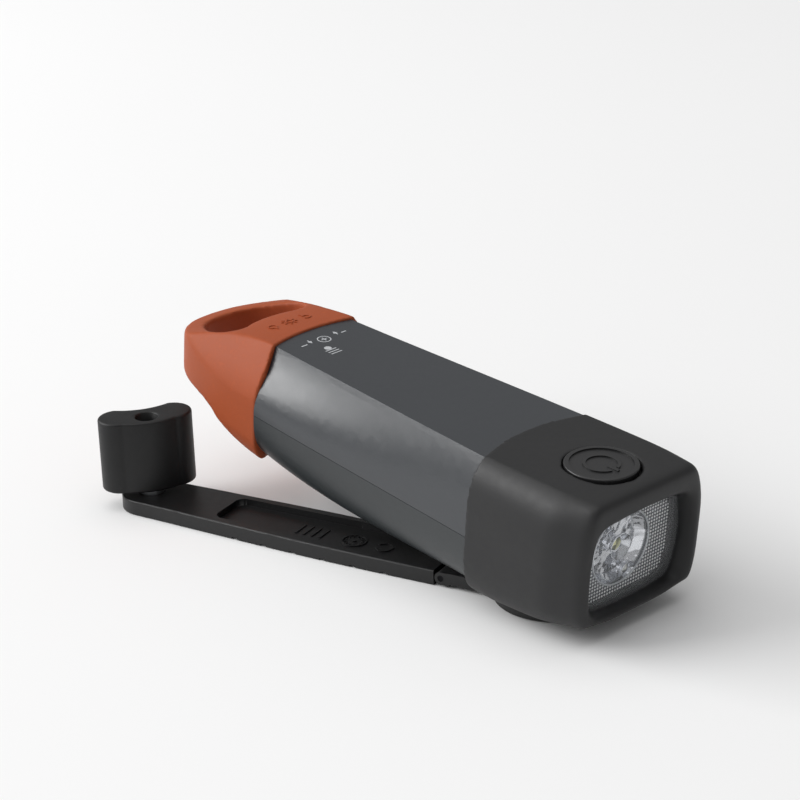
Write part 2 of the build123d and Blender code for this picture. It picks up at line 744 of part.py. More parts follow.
with BuildPart() as gear_screws:
    for x, y, foot in frame_posts:
        add(round_bar(Plane(origin=(x, y, foot - gear_screw_bite)), gear_screw_radius,
                      plate_top - foot + gear_screw_bite + 0.2))
        add(round_bar(Plane(origin=(x, y, plate_top + seat_gap)), gear_screw_head_radius,
                      gear_screw_head_height))
write(gear_screws, "gear_screws")


def bush(plane, bore, outer, flange, foot, height, flange_thickness):
    """Plain bearing bush with its flange on top."""
    with BuildPart() as bearing:
        add(round_bar(plane.offset(foot), outer, height))
        add(round_bar(plane.offset(foot + height), flange, flange_thickness))
        add(round_bar(plane, bore + running_gap, 60), mode=Mode.SUBTRACT)
    return bearing


rotor_plane = Plane(origin=(*rotor_place, 0))
idler_plane = Plane(origin=(*idler_place, 0))
lower_bush = bush(level(0), shaft_radius, bush_radius, bush_flange_radius, underside + 0.1,
                  lower_boss_top - underside - 0.1 + seat_gap, bush_flange_thickness)
write(lower_bush, "lower_bush")
upper_bush = bush(level(0), shaft_radius, bush_radius, bush_flange_radius, plate_height,
                  frame_thickness + seat_gap, bush_flange_thickness)
write(upper_bush, "upper_bush")
rotor_bush = bush(rotor_plane, small_axle_radius, small_bush_radius, small_bush_radius + 0.5,
                  plate_height, frame_thickness + seat_gap, 0.3)
write(rotor_bush, "rotor_bush")

with BuildPart() as idler_axle:
    add(round_bar(idler_plane.offset(frame_foot), small_axle_radius, plate_top - frame_foot))
write(idler_axle, "idler_axle")

with BuildPart() as idler_gear:
    extrude(gear(idler_plane.offset(low_gear), idler_small_teeth,
                 idler_direction + 180.0 + 180.0 / idler_small_teeth), amount=gear_thickness)
    extrude(gear(idler_plane.offset(high_gear), idler_large_teeth, rotor_direction),
            amount=gear_thickness)
    add(round_bar(idler_plane.offset(low_gear), 2.2, high_gear - low_gear + gear_thickness))
    add(round_bar(idler_plane, small_axle_radius + running_gap, 60), mode=Mode.SUBTRACT)
write(idler_gear, "idler_gear")

with BuildPart() as rotor_shaft:
    add(round_bar(rotor_plane.offset(rotor_boss_top - rotor_pivot_depth), small_axle_radius,
                  rotor_foot + rotor_height + 0.4 - rotor_boss_top + rotor_pivot_depth))
    extrude(gear(rotor_plane.offset(high_gear), rotor_teeth,
                 rotor_direction + 180.0 + 180.0 / rotor_teeth), amount=gear_thickness)
write(rotor_shaft, "rotor_shaft")

with BuildPart() as generator_rotor:
    add(round_bar(rotor_plane.offset(rotor_foot), rotor_radius, rotor_height))
    chamfer(edges().filter_by(GeomType.CIRCLE), length=0.4)
    add(round_bar(rotor_plane, small_axle_radius + seat_gap, 60), mode=Mode.SUBTRACT)
write(generator_rotor, "generator_rotor")

stator_inner = rotor_radius + stator_gap
stator_plane = rotor_plane.offset(plate_top + seat_gap)
with BuildPart() as stator_core:
    with BuildSketch(stator_plane):
        Circle(stator_outer)
        Circle(stator_outer - yoke_width, mode=Mode.SUBTRACT)
    extrude(amount=stator_height)
    with BuildSketch(stator_plane.offset(tooth_recess)):
        with PolarLocations(0.5 * (stator_inner + stator_outer) - 0.2, coil_count):
            Rectangle(stator_outer - stator_inner, tooth_width)
        with PolarLocations(stator_inner + 0.4, coil_count):
            Rectangle(0.8, coil_width)
        Circle(stator_inner, mode=Mode.SUBTRACT)
    extrude(amount=stator_height - 2 * tooth_recess)
write(stator_core, "stator_core")

coil_in, coil_out = stator_inner + 0.85, stator_outer - yoke_width - 0.35
with BuildPart() as stator_coils:
    with BuildSketch(stator_plane.offset(0.15)):
        with PolarLocations(0.5 * (coil_in + coil_out), coil_count):
            Rectangle(coil_out - coil_in, coil_width)
    extrude(amount=stator_height - 0.3)
    with BuildSketch(stator_plane.offset(tooth_recess - seat_gap)):
        with PolarLocations(0.5 * (coil_in + coil_out), coil_count):
            Rectangle(coil_out - coil_in + 1, tooth_width + 2 * seat_gap)
    extrude(amount=stator_height - 2 * tooth_recess + 2 * seat_gap, mode=Mode.SUBTRACT)
write(stator_coils, "stator_coils")

# ---------------------------------------------------------------- battery and boards
cell_plane = station(battery_front - battery_length, battery_z)
with BuildPart() as battery_cell:
    add(round_bar(cell_plane, battery_radius, battery_length - 0.8))
    add(round_bar(cell_plane, 0.35 * battery_radius, battery_length))
    fillet(edges().filter_by(GeomType.CIRCLE).group_by(SortBy.LENGTH)[-1], radius=0.6)
write(battery_cell, "battery_cell")

with BuildPart() as battery_cradle:
    with BuildSketch(station(cradle_rear, board_top + seat_gap)):
        Rectangle(2 * cradle_half_width, battery_z - 0.45 * battery_radius - board_top,
                  align=(Align.CENTER, Align.MIN))
    extrude(amount=cradle_front - cradle_rear)
    add(round_bar(cell_plane, battery_radius + seat_gap, battery_length), mode=Mode.SUBTRACT)
    with BuildSketch(station(cradle_rear, board_top)):
        Rectangle(cradle_half_width, 2 * 2.4)
    extrude(amount=reach_far, mode=Mode.SUBTRACT)
write(battery_cradle, "battery_cradle")

with BuildPart() as battery_contacts:
    for x in (battery_front + seat_gap, battery_front - battery_length - contact_thickness - seat_gap):
        with BuildSketch(station(x, battery_z)):
            RectangleRounded(contact_size[0], contact_size[1], 1.5)
        extrude(amount=contact_thickness)
write(battery_contacts, "battery_contacts")

with BuildPart() as main_board:
    with BuildSketch(torch_level(board_top - board_thickness)):
        with Locations((0.5 * (board_front + board_rear), 0)):
            Rectangle(board_front - board_rear, 2 * board_half_width)
    extrude(amount=board_thickness)
write(main_board, "main_board")


def charge_port(size, side, tongue):
    """Shell of a charging port on the board, open to the tail."""
    long, wide, high = size
    middle = board_top + seat_gap + 0.5 * high
    with BuildPart() as port:
        with BuildSketch(station(port_mouth, middle)):
            with Locations((side, 0)):
                RectangleRounded(wide, high, 0.6)
        extrude(amount=long)
        with BuildSketch(station(port_mouth, middle)):
            with Locations((side, 0)):
                RectangleRounded(wide - 2 * port_wall, high - 2 * port_wall, 0.3)
        extrude(amount=long - 1.0, mode=Mode.SUBTRACT)
        with BuildSketch(station(port_mouth + 0.8, middle)):
            with Locations((side, tongue[2])):
                Rectangle(tongue[0], tongue[1])
        extrude(amount=long - 1.0)
    return port


usb_out_port = charge_port(usb_out_size, usb_out_side, (10.8, 1.8, 1.0))
write(usb_out_port, "usb_out_port")
usb_in_port = charge_port(usb_in_size, usb_in_side, (4.0, 0.6, 0.0))
write(usb_in_port, "usb_in_port")

with BuildPart() as port_plate:
    with BuildSketch(station(port_plate_rear)):
        Rectangle(2 * reach_far, 2 * reach_far)
    extrude(amount=port_plate_thickness)
    add(form(body_stations, body_crease, wall + 3 * seat_gap), mode=Mode.INTERSECT)
    for size, side in ((usb_out_size, usb_out_side), (usb_in_size, usb_in_side)):
        with BuildSketch(station(port_plate_rear - 1, board_top + seat_gap + 0.5 * size[2])):
            with Locations((side, 0)):
                RectangleRounded(size[1] + 4 * seat_gap, size[2] + 4 * seat_gap, 0.6)
        extrude(amount=port_plate_thickness + 2, mode=Mode.SUBTRACT)
write(port_plate, "port_plate")

screw_seat = shell_foot_z + screw_sink
with BuildPart() as housing_screws:
    for x, y in column_places:
        add(round_bar(torch_level(screw_seat, x, y), screw_head_radius, screw_head_height - seat_gap))
        add(round_bar(torch_level(screw_seat, x, y), screw_radius, shell_seam_z + screw_bite - screw_seat))
        with BuildSketch(torch_level(screw_seat, x, y)):
            Rectangle(2.4, 0.6)
            Rectangle(0.6, 2.4)
        extrude(amount=0.7, mode=Mode.SUBTRACT)
write(housing_screws, "housing_screws")

# ---------------------------------------------------------------- crank
hub_top = arm_thickness
hub_foot = hub_cover_thickness
hinge_plane = Plane(origin=arm_dir * hinge_reach + Vector(0, 0, hinge_height), x_dir=arm_dir,
                    z_dir=(-arm_dir.Y, arm_dir.X, 0))
face_gap = knuckle_radius + knuckle_gap


def knuckle(side_from, side_to, lean):
    """Hinge knuckle and its web, lean -1 to the hub or 1 to the arm."""
    side_plane = hinge_plane.offset(side_from)
    with BuildPart(mode=Mode.PRIVATE) as eye:
        with BuildSketch(side_plane):
            Circle(knuckle_radius)
            with Locations((lean * 0.5 * (face_gap + 0.5), 0)):
                Rectangle(face_gap + 0.5, 2 * knuckle_radius)
        extrude(amount=side_to - side_from)
    return eye.part


knuckle_sides = [(-arm_end_half_width, -middle_knuckle_half_width - 0.2),
                 (middle_knuckle_half_width + 0.2, arm_end_half_width)]
with BuildPart() as crank_hub:
    with BuildSketch(arm_plane.offset(hub_foot)):
        Circle(hub_radius)
        with Locations((0.5 * (hinge_reach - face_gap), 0)):
            Rectangle(hinge_reach - face_gap, 2 * arm_end_half_width)
    extrude(amount=hub_top - hub_foot)
    for side_from, side_to in knuckle_sides:
        add(knuckle(side_from, side_to, -1))
    fillet(edges().filter_by(GeomType.CIRCLE).filter_by(
        lambda edge: abs(edge.radius - hub_radius) < 0.01).group_by(Axis.Z)[-1], radius=0.5)
    add(round_bar(hinge_plane.offset(-20), hinge_pin_radius + seat_gap, 40), mode=Mode.SUBTRACT)
    add(round_bar(level(shaft_foot - seat_gap), shaft_radius + seat_gap, 10), mode=Mode.SUBTRACT)
    add(round_bar(level(0), hub_screw_radius + 0.1, 10), mode=Mode.SUBTRACT)
    add(round_bar(level(0), hub_screw_head_radius + 0.2, hub_foot + hub_screw_head_height + 0.1),
        mode=Mode.SUBTRACT)
write(crank_hub, "crank_hub")

with BuildPart() as hub_cover:
    add(round_bar(level(0), hub_radius - 0.2, hub_cover_thickness - seat_gap))
    chamfer(edges().group_by(Axis.Z)[0], length=0.3)
write(hub_cover, "hub_cover")

with BuildPart() as hub_screw:
    add(round_bar(level(hub_foot + seat_gap), hub_screw_head_radius, hub_screw_head_height))
    add(round_bar(level(hub_foot + seat_gap), hub_screw_radius, 6.0))
write(hub_screw, "hub_screw")

clip_foot = plate_top + seat_gap + bush_flange_thickness + 0.25
with BuildPart() as crank_shaft:
    add(round_bar(level(shaft_foot), shaft_radius, clip_foot + clip_thickness + 0.8 - shaft_foot))
    with BuildSketch(level(clip_foot)):
        Circle(shaft_radius + 1)
        Circle(clip_groove_radius, mode=Mode.SUBTRACT)
    extrude(amount=clip_thickness, mode=Mode.SUBTRACT)
    add(round_bar(level(0), hub_screw_radius + seat_gap, hub_foot + 6.3), mode=Mode.SUBTRACT)
write(crank_shaft, "crank_shaft")

with BuildPart() as shaft_clip:
    with BuildSketch(level(clip_foot + seat_gap)):
        Circle(clip_radius)
        Circle(clip_groove_radius + seat_gap, mode=Mode.SUBTRACT)
        with Locations((clip_radius, 0)):
            Rectangle(2 * clip_radius, 2.4, mode=Mode.SUBTRACT)
    extrude(amount=clip_thickness - 2 * seat_gap)
write(shaft_clip, "shaft_clip")

with BuildPart() as drive_gear:
    extrude(gear(level(low_gear), drive_teeth, idler_direction), amount=gear_thickness)
    add(round_bar(level(low_gear), drive_boss_radius, plate_height - seat_gap * 6 - low_gear))
    add(round_bar(level(0), shaft_radius + seat_gap, 60), mode=Mode.SUBTRACT)
write(drive_gear, "drive_gear")

with BuildPart() as hinge_pin:
    add(round_bar(hinge_plane.offset(0.1 - arm_end_half_width), hinge_pin_radius,
                  2 * arm_end_half_width - 0.2))
write(hinge_pin, "hinge_pin")

# ---------------------------------------------------------------- crank arm and knob
arm_start = hinge_reach + face_gap
knob_place = arm_dir * knob_reach
with BuildPart() as crank_arm:
    with BuildSketch(arm_plane):
        with BuildLine():
            Line((arm_start, -arm_end_half_width), (arm_start, arm_end_half_width))
            arm_edge = Spline((arm_start, arm_end_half_width), (60.0, arm_mid_half_width),
                              (100.0, arm_neck_half_width), (knob_reach, arm_tip_radius),
                              tangents=[(1, 0.02), (1, 0), (1, -0.03), (1, 0)])
            mirror(arm_edge, about=Plane.XZ)
            ThreePointArc((knob_reach, arm_tip_radius), (knob_reach + arm_tip_radius, 0),
                          (knob_reach, -arm_tip_radius))
        make_face()
    extrude(amount=arm_thickness)
    fillet(edges().group_by(Axis.Z)[-1].filter_by(lambda edge: edge.length > 20), radius=0.5)
    with BuildSketch(arm_plane.offset(arm_thickness - channel_depth)):
        with BuildLine():
            Polyline((channel_start, arm_end_half_width - rim_width),
                     (60.0, arm_mid_half_width - rim_width),
                     (channel_end, arm_neck_half_width - rim_width),
                     (channel_end, rim_width - arm_neck_half_width),
                     (60.0, rim_width - arm_mid_half_width),
                     (channel_start, rim_width - arm_end_half_width), close=True)
        make_face()
        fillet(vertices(), radius=channel_corner)
    extrude(amount=channel_depth + 1, mode=Mode.SUBTRACT)
    with BuildSketch(arm_plane):
        with Locations((0.5 * (channel_start + channel_end), 0)):
            with GridLocations(groove_pitch, 1, groove_count, 1):
                Rectangle(groove_width, 4 * arm_mid_half_width)
    extrude(amount=groove_depth, mode=Mode.SUBTRACT)
    add(knuckle(-middle_knuckle_half_width, middle_knuckle_half_width, 1))
    add(round_bar(hinge_plane.offset(-20), hinge_pin_radius + running_gap, 40), mode=Mode.SUBTRACT)
    add(round_bar(Plane(origin=knob_place + Vector(0, 0, axle_foot - seat_gap)),
                  knob_axle_radius + seat_gap, 10), mode=Mode.SUBTRACT)
write(crank_arm, "crank_arm")

knob_foot = arm_thickness + knob_lift
knob_top = knob_foot + knob_height
hole_floor = knob_top - knob_hole_depth
knob_turn = math.radians(knob_direction)
knob_plane = Plane(origin=knob_place, x_dir=(math.cos(knob_turn), math.sin(knob_turn), 0),
                   z_dir=(0, 0, 1))
with BuildPart() as knob_axle:
    add(round_bar(knob_plane.offset(axle_foot), knob_axle_radius, hole_floor + 0.1 - axle_foot))
    add(round_bar(knob_plane.offset(arm_thickness + seat_gap), knob_collar_radius,
                  knob_lift - seat_gap - 0.15))
    add(round_bar(knob_plane.offset(knob_foot - 0.1), knob_screw_radius + seat_gap, 60),
        mode=Mode.SUBTRACT)
write(knob_axle, "knob_axle")

with BuildPart() as knob_screw:
    add(round_bar(knob_plane.offset(hole_floor + 0.15), knob_screw_head_radius, knob_screw_height))
    add(round_bar(knob_plane.offset(knob_foot), knob_screw_radius, hole_floor + 0.2 - knob_foot))
    with BuildSketch(knob_plane.offset(hole_floor + 0.15 + knob_screw_height)):
        Rectangle(3.4, 0.7)
        Rectangle(0.7, 3.4)
    extrude(amount=-0.8, mode=Mode.SUBTRACT)
write(knob_screw, "knob_screw")

half_run = 0.5 * (knob_length - knob_depth)
with BuildPart() as knob:
    with BuildSketch(knob_plane.offset(knob_foot)):
        with BuildLine():
            bend = ThreePointArc((-half_run, knob_bow), (0, 0), (half_run, knob_bow))
        SlotArc(bend, knob_depth)
    extrude(amount=knob_height)
    fillet(edges().group_by(Axis.Z)[-1] + edges().group_by(Axis.Z)[0], radius=knob_edge_radius)
    add(round_bar(knob_plane.offset(hole_floor), knob_hole_radius, 20), mode=Mode.SUBTRACT)
    add(round_bar(knob_plane, knob_axle_radius + running_gap, 60), mode=Mode.SUBTRACT)
write(knob, "knob")
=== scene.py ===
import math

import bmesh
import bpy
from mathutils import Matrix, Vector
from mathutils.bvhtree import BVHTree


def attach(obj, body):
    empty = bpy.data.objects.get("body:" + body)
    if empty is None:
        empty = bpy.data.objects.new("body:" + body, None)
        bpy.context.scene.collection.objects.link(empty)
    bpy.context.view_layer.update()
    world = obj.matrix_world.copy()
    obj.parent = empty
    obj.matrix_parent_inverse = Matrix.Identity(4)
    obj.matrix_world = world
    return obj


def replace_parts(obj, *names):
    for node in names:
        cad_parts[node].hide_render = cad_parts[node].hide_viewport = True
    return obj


bl_info = {
    "name": "Hand Crank Torch",
    "version": (1, 0, 0),
    "blender": (4, 5, 0),
    "location": "View3D > Sidebar > Torch",
    "description": "Finishes and fine pieces of a hand crank torch, round its fixed frame",
    "category": "Object",
}

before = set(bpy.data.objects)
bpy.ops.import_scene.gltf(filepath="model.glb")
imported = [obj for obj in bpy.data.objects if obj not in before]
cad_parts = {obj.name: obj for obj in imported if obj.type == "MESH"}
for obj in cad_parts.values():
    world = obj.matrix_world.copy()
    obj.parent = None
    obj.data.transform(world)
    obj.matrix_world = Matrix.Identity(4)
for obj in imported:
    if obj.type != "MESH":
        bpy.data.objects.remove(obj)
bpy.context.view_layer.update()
MM = 0.001

# ---------------------------------------------------------------- the torch's own frame
# plain numbers are millimetres, and at() or MM turns them into metres
PITCH = math.radians(7.0)    # how far the body leans nose down over its crank
TORCH_X = Vector((math.cos(PITCH), 0, -math.sin(PITCH)))
TORCH_Y = Vector((0, 1, 0))
TORCH_Z = Vector((math.sin(PITCH), 0, math.cos(PITCH)))
TORCH_ORIGIN = Vector((-6.5, 0, 40.2)) * MM
SWING = math.radians(16.5)   # the arm's angle off the torch at rest
ARM_DIR = Vector((-math.cos(SWING), -math.sin(SWING), 0))
ARM_SIDE = Vector((math.sin(SWING), -math.cos(SWING), 0))
WINDOW_PLACE = (-1.0, -16.6)  # middle of the lens's clear window, across and up
WINDOW_RADIUS = 9.7


def at(x, y, z):
    """Point given in the torch's own frame, in millimetres."""
    return TORCH_ORIGIN + (TORCH_X * x + TORCH_Y * y + TORCH_Z * z) * MM


def on_arm(u, w, z):
    """Point along and across the crank arm in millimetres, at a height in metres."""
    return ARM_DIR * (u * MM) + ARM_SIDE * (w * MM) + Vector((0, 0, z))


# ---------------------------------------------------------------- shader maths
class Value:
    """A node socket whose operators add Math nodes."""

    def __init__(self, finish, socket):
        self.finish = finish
        self.socket = socket

    def math(self, operation, *others):
        """Math node with this value first."""
        return self.finish.node("ShaderNodeMath", {"operation": operation}, [self, *others])

    def flipped(self, operation, first):
        """Math node with this value second."""
        return self.finish.node("ShaderNodeMath", {"operation": operation}, [first, self])

    def __add__(self, other):
        return self.math("ADD", other)

    def __sub__(self, other):
        return self.math("SUBTRACT", other)

    def __mul__(self, other):
        return self.math("MULTIPLY", other)

    def __radd__(self, first):
        return self.flipped("ADD", first)

    def __rsub__(self, first):
        return self.flipped("SUBTRACT", first)

    def __rmul__(self, first):
        return self.flipped("MULTIPLY", first)

    def __lt__(self, other):
        return self.math("LESS_THAN", other)

    def ramp(self, low, high):
        """Smooth step from 0 at the low level to 1 at the high one."""
        return self.finish.node("ShaderNodeMapRange", {"interpolation_type": "SMOOTHSTEP"},
                                [self, low, high])


class Finish:
    """One material: its shader, and the nodes that feed it."""

    def __init__(self, name):
        self.material = bpy.data.materials.new(name)
        self.material.use_nodes = True
        self.tree = self.material.node_tree
        self.tree.nodes.clear()
        self.shader = self.tree.nodes.new("ShaderNodeBsdfPrincipled")
        output = self.tree.nodes.new("ShaderNodeOutputMaterial")
        self.tree.links.new(self.shader.outputs[0], output.inputs[0])

    def feed(self, target, value):
        """Links a Value to a socket, or sets the socket to a plain number or colour."""
        if isinstance(value, Value):
            self.tree.links.new(value.socket, target)
        elif value is not None:
            target.default_value = value

    def node(self, kind, settings=None, inputs=(), out=0):
        """Adds a node: first its settings, then its inputs by place or by name."""
        added = self.tree.nodes.new(kind)
        for key, setting in (settings or {}).items():
            setattr(added, key, setting)
        pairs = inputs.items() if isinstance(inputs, dict) else enumerate(inputs)
        for key, value in pairs:
            self.feed(added.inputs[key], value)
        return Value(self, added.outputs[out])

    def place(self, centre=(0, 0, 0), turn=(0, 0, 0), scale=(1, 1, 1)):
        """Object coordinates, centred and turned."""
        coords = self.node("ShaderNodeTexCoord", out="Object")
        return self.node("ShaderNodeMapping", {"vector_type": "TEXTURE"},
                         {"Vector": coords, "Location": centre, "Rotation": turn, "Scale": scale})

    def noise(self, scale, detail=3.0, rough=0.5, where=None):
        """Noise from 0 to 1, with that many waves to a metre."""
        return self.node("ShaderNodeTexNoise", None,
                         {"Vector": where or self.place(), "Scale": scale, "Detail": detail,
                          "Roughness": rough}, out="Fac")

    def parts(self, vector):
        """The three numbers of a vector."""
        split = self.node("ShaderNodeSeparateXYZ", None, [vector])
        return [Value(self, socket) for socket in split.socket.node.outputs]

    def blend(self, mask, first, second):
        """Colour that goes from first to second as the mask goes from 0 to 1."""
        mixed = self.tree.nodes.new("ShaderNodeMix")
        mixed.data_type = "RGBA"
        self.feed(mixed.inputs[0], mask)
        self.feed(mixed.inputs[6], first)
        self.feed(mixed.inputs[7], second)
        return Value(self, mixed.outputs[2])

    def bump(self, height, depth, strength=1.0, normal=None):
        """Bump of that depth in metres."""
        return self.node("ShaderNodeBump", None,
                         {"Height": height, "Distance": depth, "Strength": strength, "Normal": normal})

    def set(self, **sockets):
        """Feeds the shader's sockets, named in lower case, and returns the material."""
        for key, value in sockets.items():
            self.feed(self.shader.inputs[key.replace("_", " ").title()], value)
        return self.material


def rgb(text):
    """Linear colour from a six digit web colour."""
    channels = [int(text[i:i + 2], 16) / 255 for i in (1, 3, 5)]
    return (*[c / 12.92 if c < 0.04045 else ((c + 0.055) / 1.055) ** 2.4 for c in channels], 1.0)


def tint(colour, factor):
    """Colour made darker or lighter by a factor."""
    return (*[min(1.0, c * factor) for c in colour[:3]], 1.0)


# ---------------------------------------------------------------- finishes
FLANGE_FADE = 0.3            # over how far the bowl's bright coat gives way to its flange


def moulded(name, colour, roughness, grain=0.012, grain_scale=9000, gloss=0.35, variation=0.10):
    """Moulded plastic: fine spark grain, a faint flow pattern and worn gloss in places."""
    finish = Finish(name)
    flow = finish.noise(60, 2.0)
    fine = finish.noise(grain_scale, 2.0, 0.6)
    scuffs = finish.noise(420, 5.0, 0.65)
    shade = finish.blend(flow, tint(colour, 1 - variation), tint(colour, 1 + variation))
    speck = finish.blend(fine.ramp(0.35, 0.65) * 0.35, shade, tint(colour, 1 + 2 * variation))
    rough = roughness + (scuffs - 0.5) * 0.16 + (fine - 0.5) * 0.08
    pores = finish.bump(fine, grain * MM, 0.8)
    waves = finish.bump(flow, 0.05 * MM, 0.15, pores)
    finish.shader.inputs["Specular IOR Level"].default_value = gloss
    return finish.set(base_color=speck, roughness=rough, normal=waves)


def rubbery(name, colour, bloom_colour, roughness):
    """Soft moulded rubber: even matt skin with a dusty bloom."""
    finish = Finish(name)
    bloom = finish.noise(90, 4.0, 0.6)
    skin = finish.noise(6500, 3.0, 0.7)
    patches = finish.noise(900, 3.0, 0.55)
    shade = finish.blend(bloom, tint(colour, 0.93), tint(colour, 1.06))
    dusty = finish.blend(patches.ramp(0.5, 0.8) * 0.22, shade, bloom_colour)
    rough = roughness + (patches - 0.5) * 0.14
    finish.shader.inputs["Specular IOR Level"].default_value = 0.3
    return finish.set(base_color=dusty, roughness=rough, normal=finish.bump(skin, 0.02 * MM, 0.7))


def metal(name, colour, roughness, brushed=0.0):
    """Bare metal with fine machining lines and handling marks."""
    finish = Finish(name)
    lines = finish.noise(2600, 3.0, 0.6, finish.place(scale=(1, 1, 0.06)))
    smudge = finish.noise(300, 4.0)
    shade = finish.blend(smudge, tint(colour, 0.9), tint(colour, 1.06))
    rough = roughness + (smudge - 0.5) * 0.12 + (lines - 0.5) * (0.1 + brushed)
    return finish.set(base_color=shade, metallic=1.0, roughness=rough,
                      normal=finish.bump(lines, (0.002 + 0.01 * brushed) * MM, 0.5))


def bowl_chrome():
    """Metallised bowl: near mirror, rippled like a coated moulding, with a darker flange."""
    finish = Finish("bowl_chrome")
    ripple = finish.noise(330, 1.5, 0.5)
    dust = finish.noise(5000, 2.0)
    _, across, rise = finish.parts(finish.place(tuple(at(0, *WINDOW_PLACE)), (0.0, PITCH, 0.0)))
    away = finish.node("ShaderNodeMath", {"operation": "SQRT"}, [across * across + rise * rise])
    flange = away.ramp(WINDOW_RADIUS * MM, (WINDOW_RADIUS + FLANGE_FADE) * MM)
    bright = finish.blend(dust, rgb("#DDE0E6"), rgb("#F4F5F8"))
    shade = finish.blend(flange, bright, rgb("#565A5E"))
    return finish.set(base_color=shade, metallic=1.0, roughness=0.05 + dust * 0.06 + flange * 0.3,
                      normal=finish.bump(ripple, 0.9 * MM, 0.8))


def lens_clear():
    """Clear window: thin moulded plastic that lets the bowl show."""
    finish = Finish("lens_clear")
    haze = finish.noise(500, 3.0)
    finish.shader.inputs["IOR"].default_value = 1.45
    return finish.set(base_color=finish.blend(haze, rgb("#E4E8EC"), rgb("#F2F4F6")), alpha=0.09,
                      roughness=0.02 + haze * 0.03, normal=finish.bump(haze, 0.01 * MM, 0.2))


def lens_facet_painted_reflection():
    """The pressed prisms behind the window, which scatter the light: their near white colour is a painted
    reflection, with brighter painted glints.
    """
    finish = Finish("lens_facet_painted_reflection")
    glint = finish.noise(2400, 2.0)
    # painted reflection: near white base colour for the prisms, lighter still where the noise paints
    # glints
    shade = finish.blend(glint.ramp(0.3, 0.7), rgb("#E6E9EC"), rgb("#FFFFFF"))
    finish.shader.inputs["Coat Roughness"].default_value = 0.1
    return finish.set(base_color=shade, roughness=0.22 + glint * 0.15, coat_weight=0.6)


def board_green():
    """Circuit board: solder mask over faint copper tracks."""
    finish = Finish("board_green")
    spots = finish.node("ShaderNodeTexVoronoi", {"distance": "CHEBYCHEV"},
                        {"Vector": finish.place(), "Scale": 900})
    tracks = finish.node("ShaderNodeTexBrick", None, {"Vector": finish.place(), "Scale": 700}, out=1)
    mask = tracks * 0.4 + (spots < 0.12) * 0.6
    shade = finish.blend(mask, rgb("#14532D"), rgb("#3E8E5A"))
    return finish.set(base_color=shade, roughness=0.35 + mask * 0.2,
                      normal=finish.bump(mask, 0.03 * MM, 0.6))


def phosphor(name, core, rim):
    """Light chip: bright phosphor square in a pale package."""
    finish = Finish(name)
    grainy = finish.noise(9000, 2.0)
    shade = finish.blend(grainy, core, rim)
    return finish.set(base_color=shade, roughness=0.35 + grainy * 0.2, emission_color=core,
                      normal=finish.bump(grainy, 0.02 * MM, 0.5))


def wound_copper():
    """Enamelled wire laid turn by turn."""
    finish = Finish("wound_copper")
    turns = finish.node("ShaderNodeTexWave", {"bands_direction": "Z"},
                        {"Vector": finish.place(), "Scale": 700, "Distortion": 1.5, "Detail": 2.0}, out=1)
    shade = finish.blend(turns, rgb("#6B3214"), rgb("#C8793B"))
    return finish.set(base_color=shade, metallic=0.8, roughness=0.3 + turns * 0.15,
                      normal=finish.bump(turns, 0.08 * MM, 0.8))


def cell_wrap():
    """Shrink wrap over the cell."""
    finish = Finish("cell_wrap")
    wrinkle = finish.noise(400, 4.0, 0.6, finish.place(scale=(0.3, 1, 1)))
    shade = finish.blend(wrinkle, rgb("#1F3F6E"), rgb("#2E5C9A"))
    return finish.set(base_color=shade, roughness=0.25 + wrinkle * 0.1,
                      normal=finish.bump(wrinkle, 0.06 * MM, 0.5))


def printed(name, colour):
    """Pad printed ink, a little worn."""
    finish = Finish(name)
    worn = finish.noise(5200, 4.0, 0.7)
    shade = finish.blend(worn.ramp(0.62, 0.8) * 0.5, colour, tint(colour, 0.55))
    return finish.set(base_color=shade, roughness=0.5 + worn * 0.1)


# ---------------------------------------------------------------- mesh helpers
MERGE_DISTANCE = 0.001 * MM
CREASE_ANGLE = 10            # degrees between faces above which an edge stays sharp
SOFTENING = 0.5              # share of the way to its neighbours' mean in one round
RAY_HEIGHT = 20.0            # from where marks drop onto the torch, above every piece of it


def placed(name, data):
    """New object in the scene from a mesh, light or camera."""
    made = bpy.data.objects.new(name, data)
    bpy.context.scene.collection.objects.link(made)
    return made


def painted(mesh, material):
    """Mesh with that one material."""
    mesh.materials.clear()
    mesh.materials.append(material)
    return mesh


def mesh_from(work, name):
    """Mesh of a work mesh, which is freed."""
    mesh = bpy.data.meshes.new(name)
    work.to_mesh(mesh)
    work.free()
    return mesh


def closed_mesh(work, name):
    """Mesh of a closed work mesh, with its faces turned outward."""
    bmesh.ops.recalc_face_normals(work, faces=work.faces)
    return mesh_from(work, name)


def join_rings(work, rings):
    """Faces from each ring of points to the next one, and from the last back to the first."""
    for this, following in zip(rings, rings[1:] + rings[:1]):
        count = len(this)
        for k in range(count):
            j = (k + 1) % count
            work.faces.new([this[k], following[k], following[j], this[j]])


def link(name, mesh, material, body):
    """New piece from a mesh, finished and riding on its body."""
    piece = placed(name, painted(mesh, material))
    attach(piece, body)
    return piece


def merged_copy(node):
    """Mesh of a frame node with its loose triangles joined."""
    work = bmesh.new()
    work.from_mesh(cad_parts[node].data)
    bmesh.ops.remove_doubles(work, verts=work.verts, dist=MERGE_DISTANCE)
    return mesh_from(work, node + "_skin")


def smooth(mesh, degrees):
    """Smooth shading that keeps edges sharper than the angle."""
    for face in mesh.polygons:
        face.use_smooth = True
    mesh.set_sharp_from_angle(angle=math.radians(degrees))


def even_shading(piece):
    """Smooth shading in which the large faces stay flat."""
    smooth(piece.data, CREASE_ANGLE)
    weighted = piece.modifiers.new("even", "WEIGHTED_NORMAL")
    weighted.keep_sharp = True
    weighted.weight = 100
    return finished(piece)


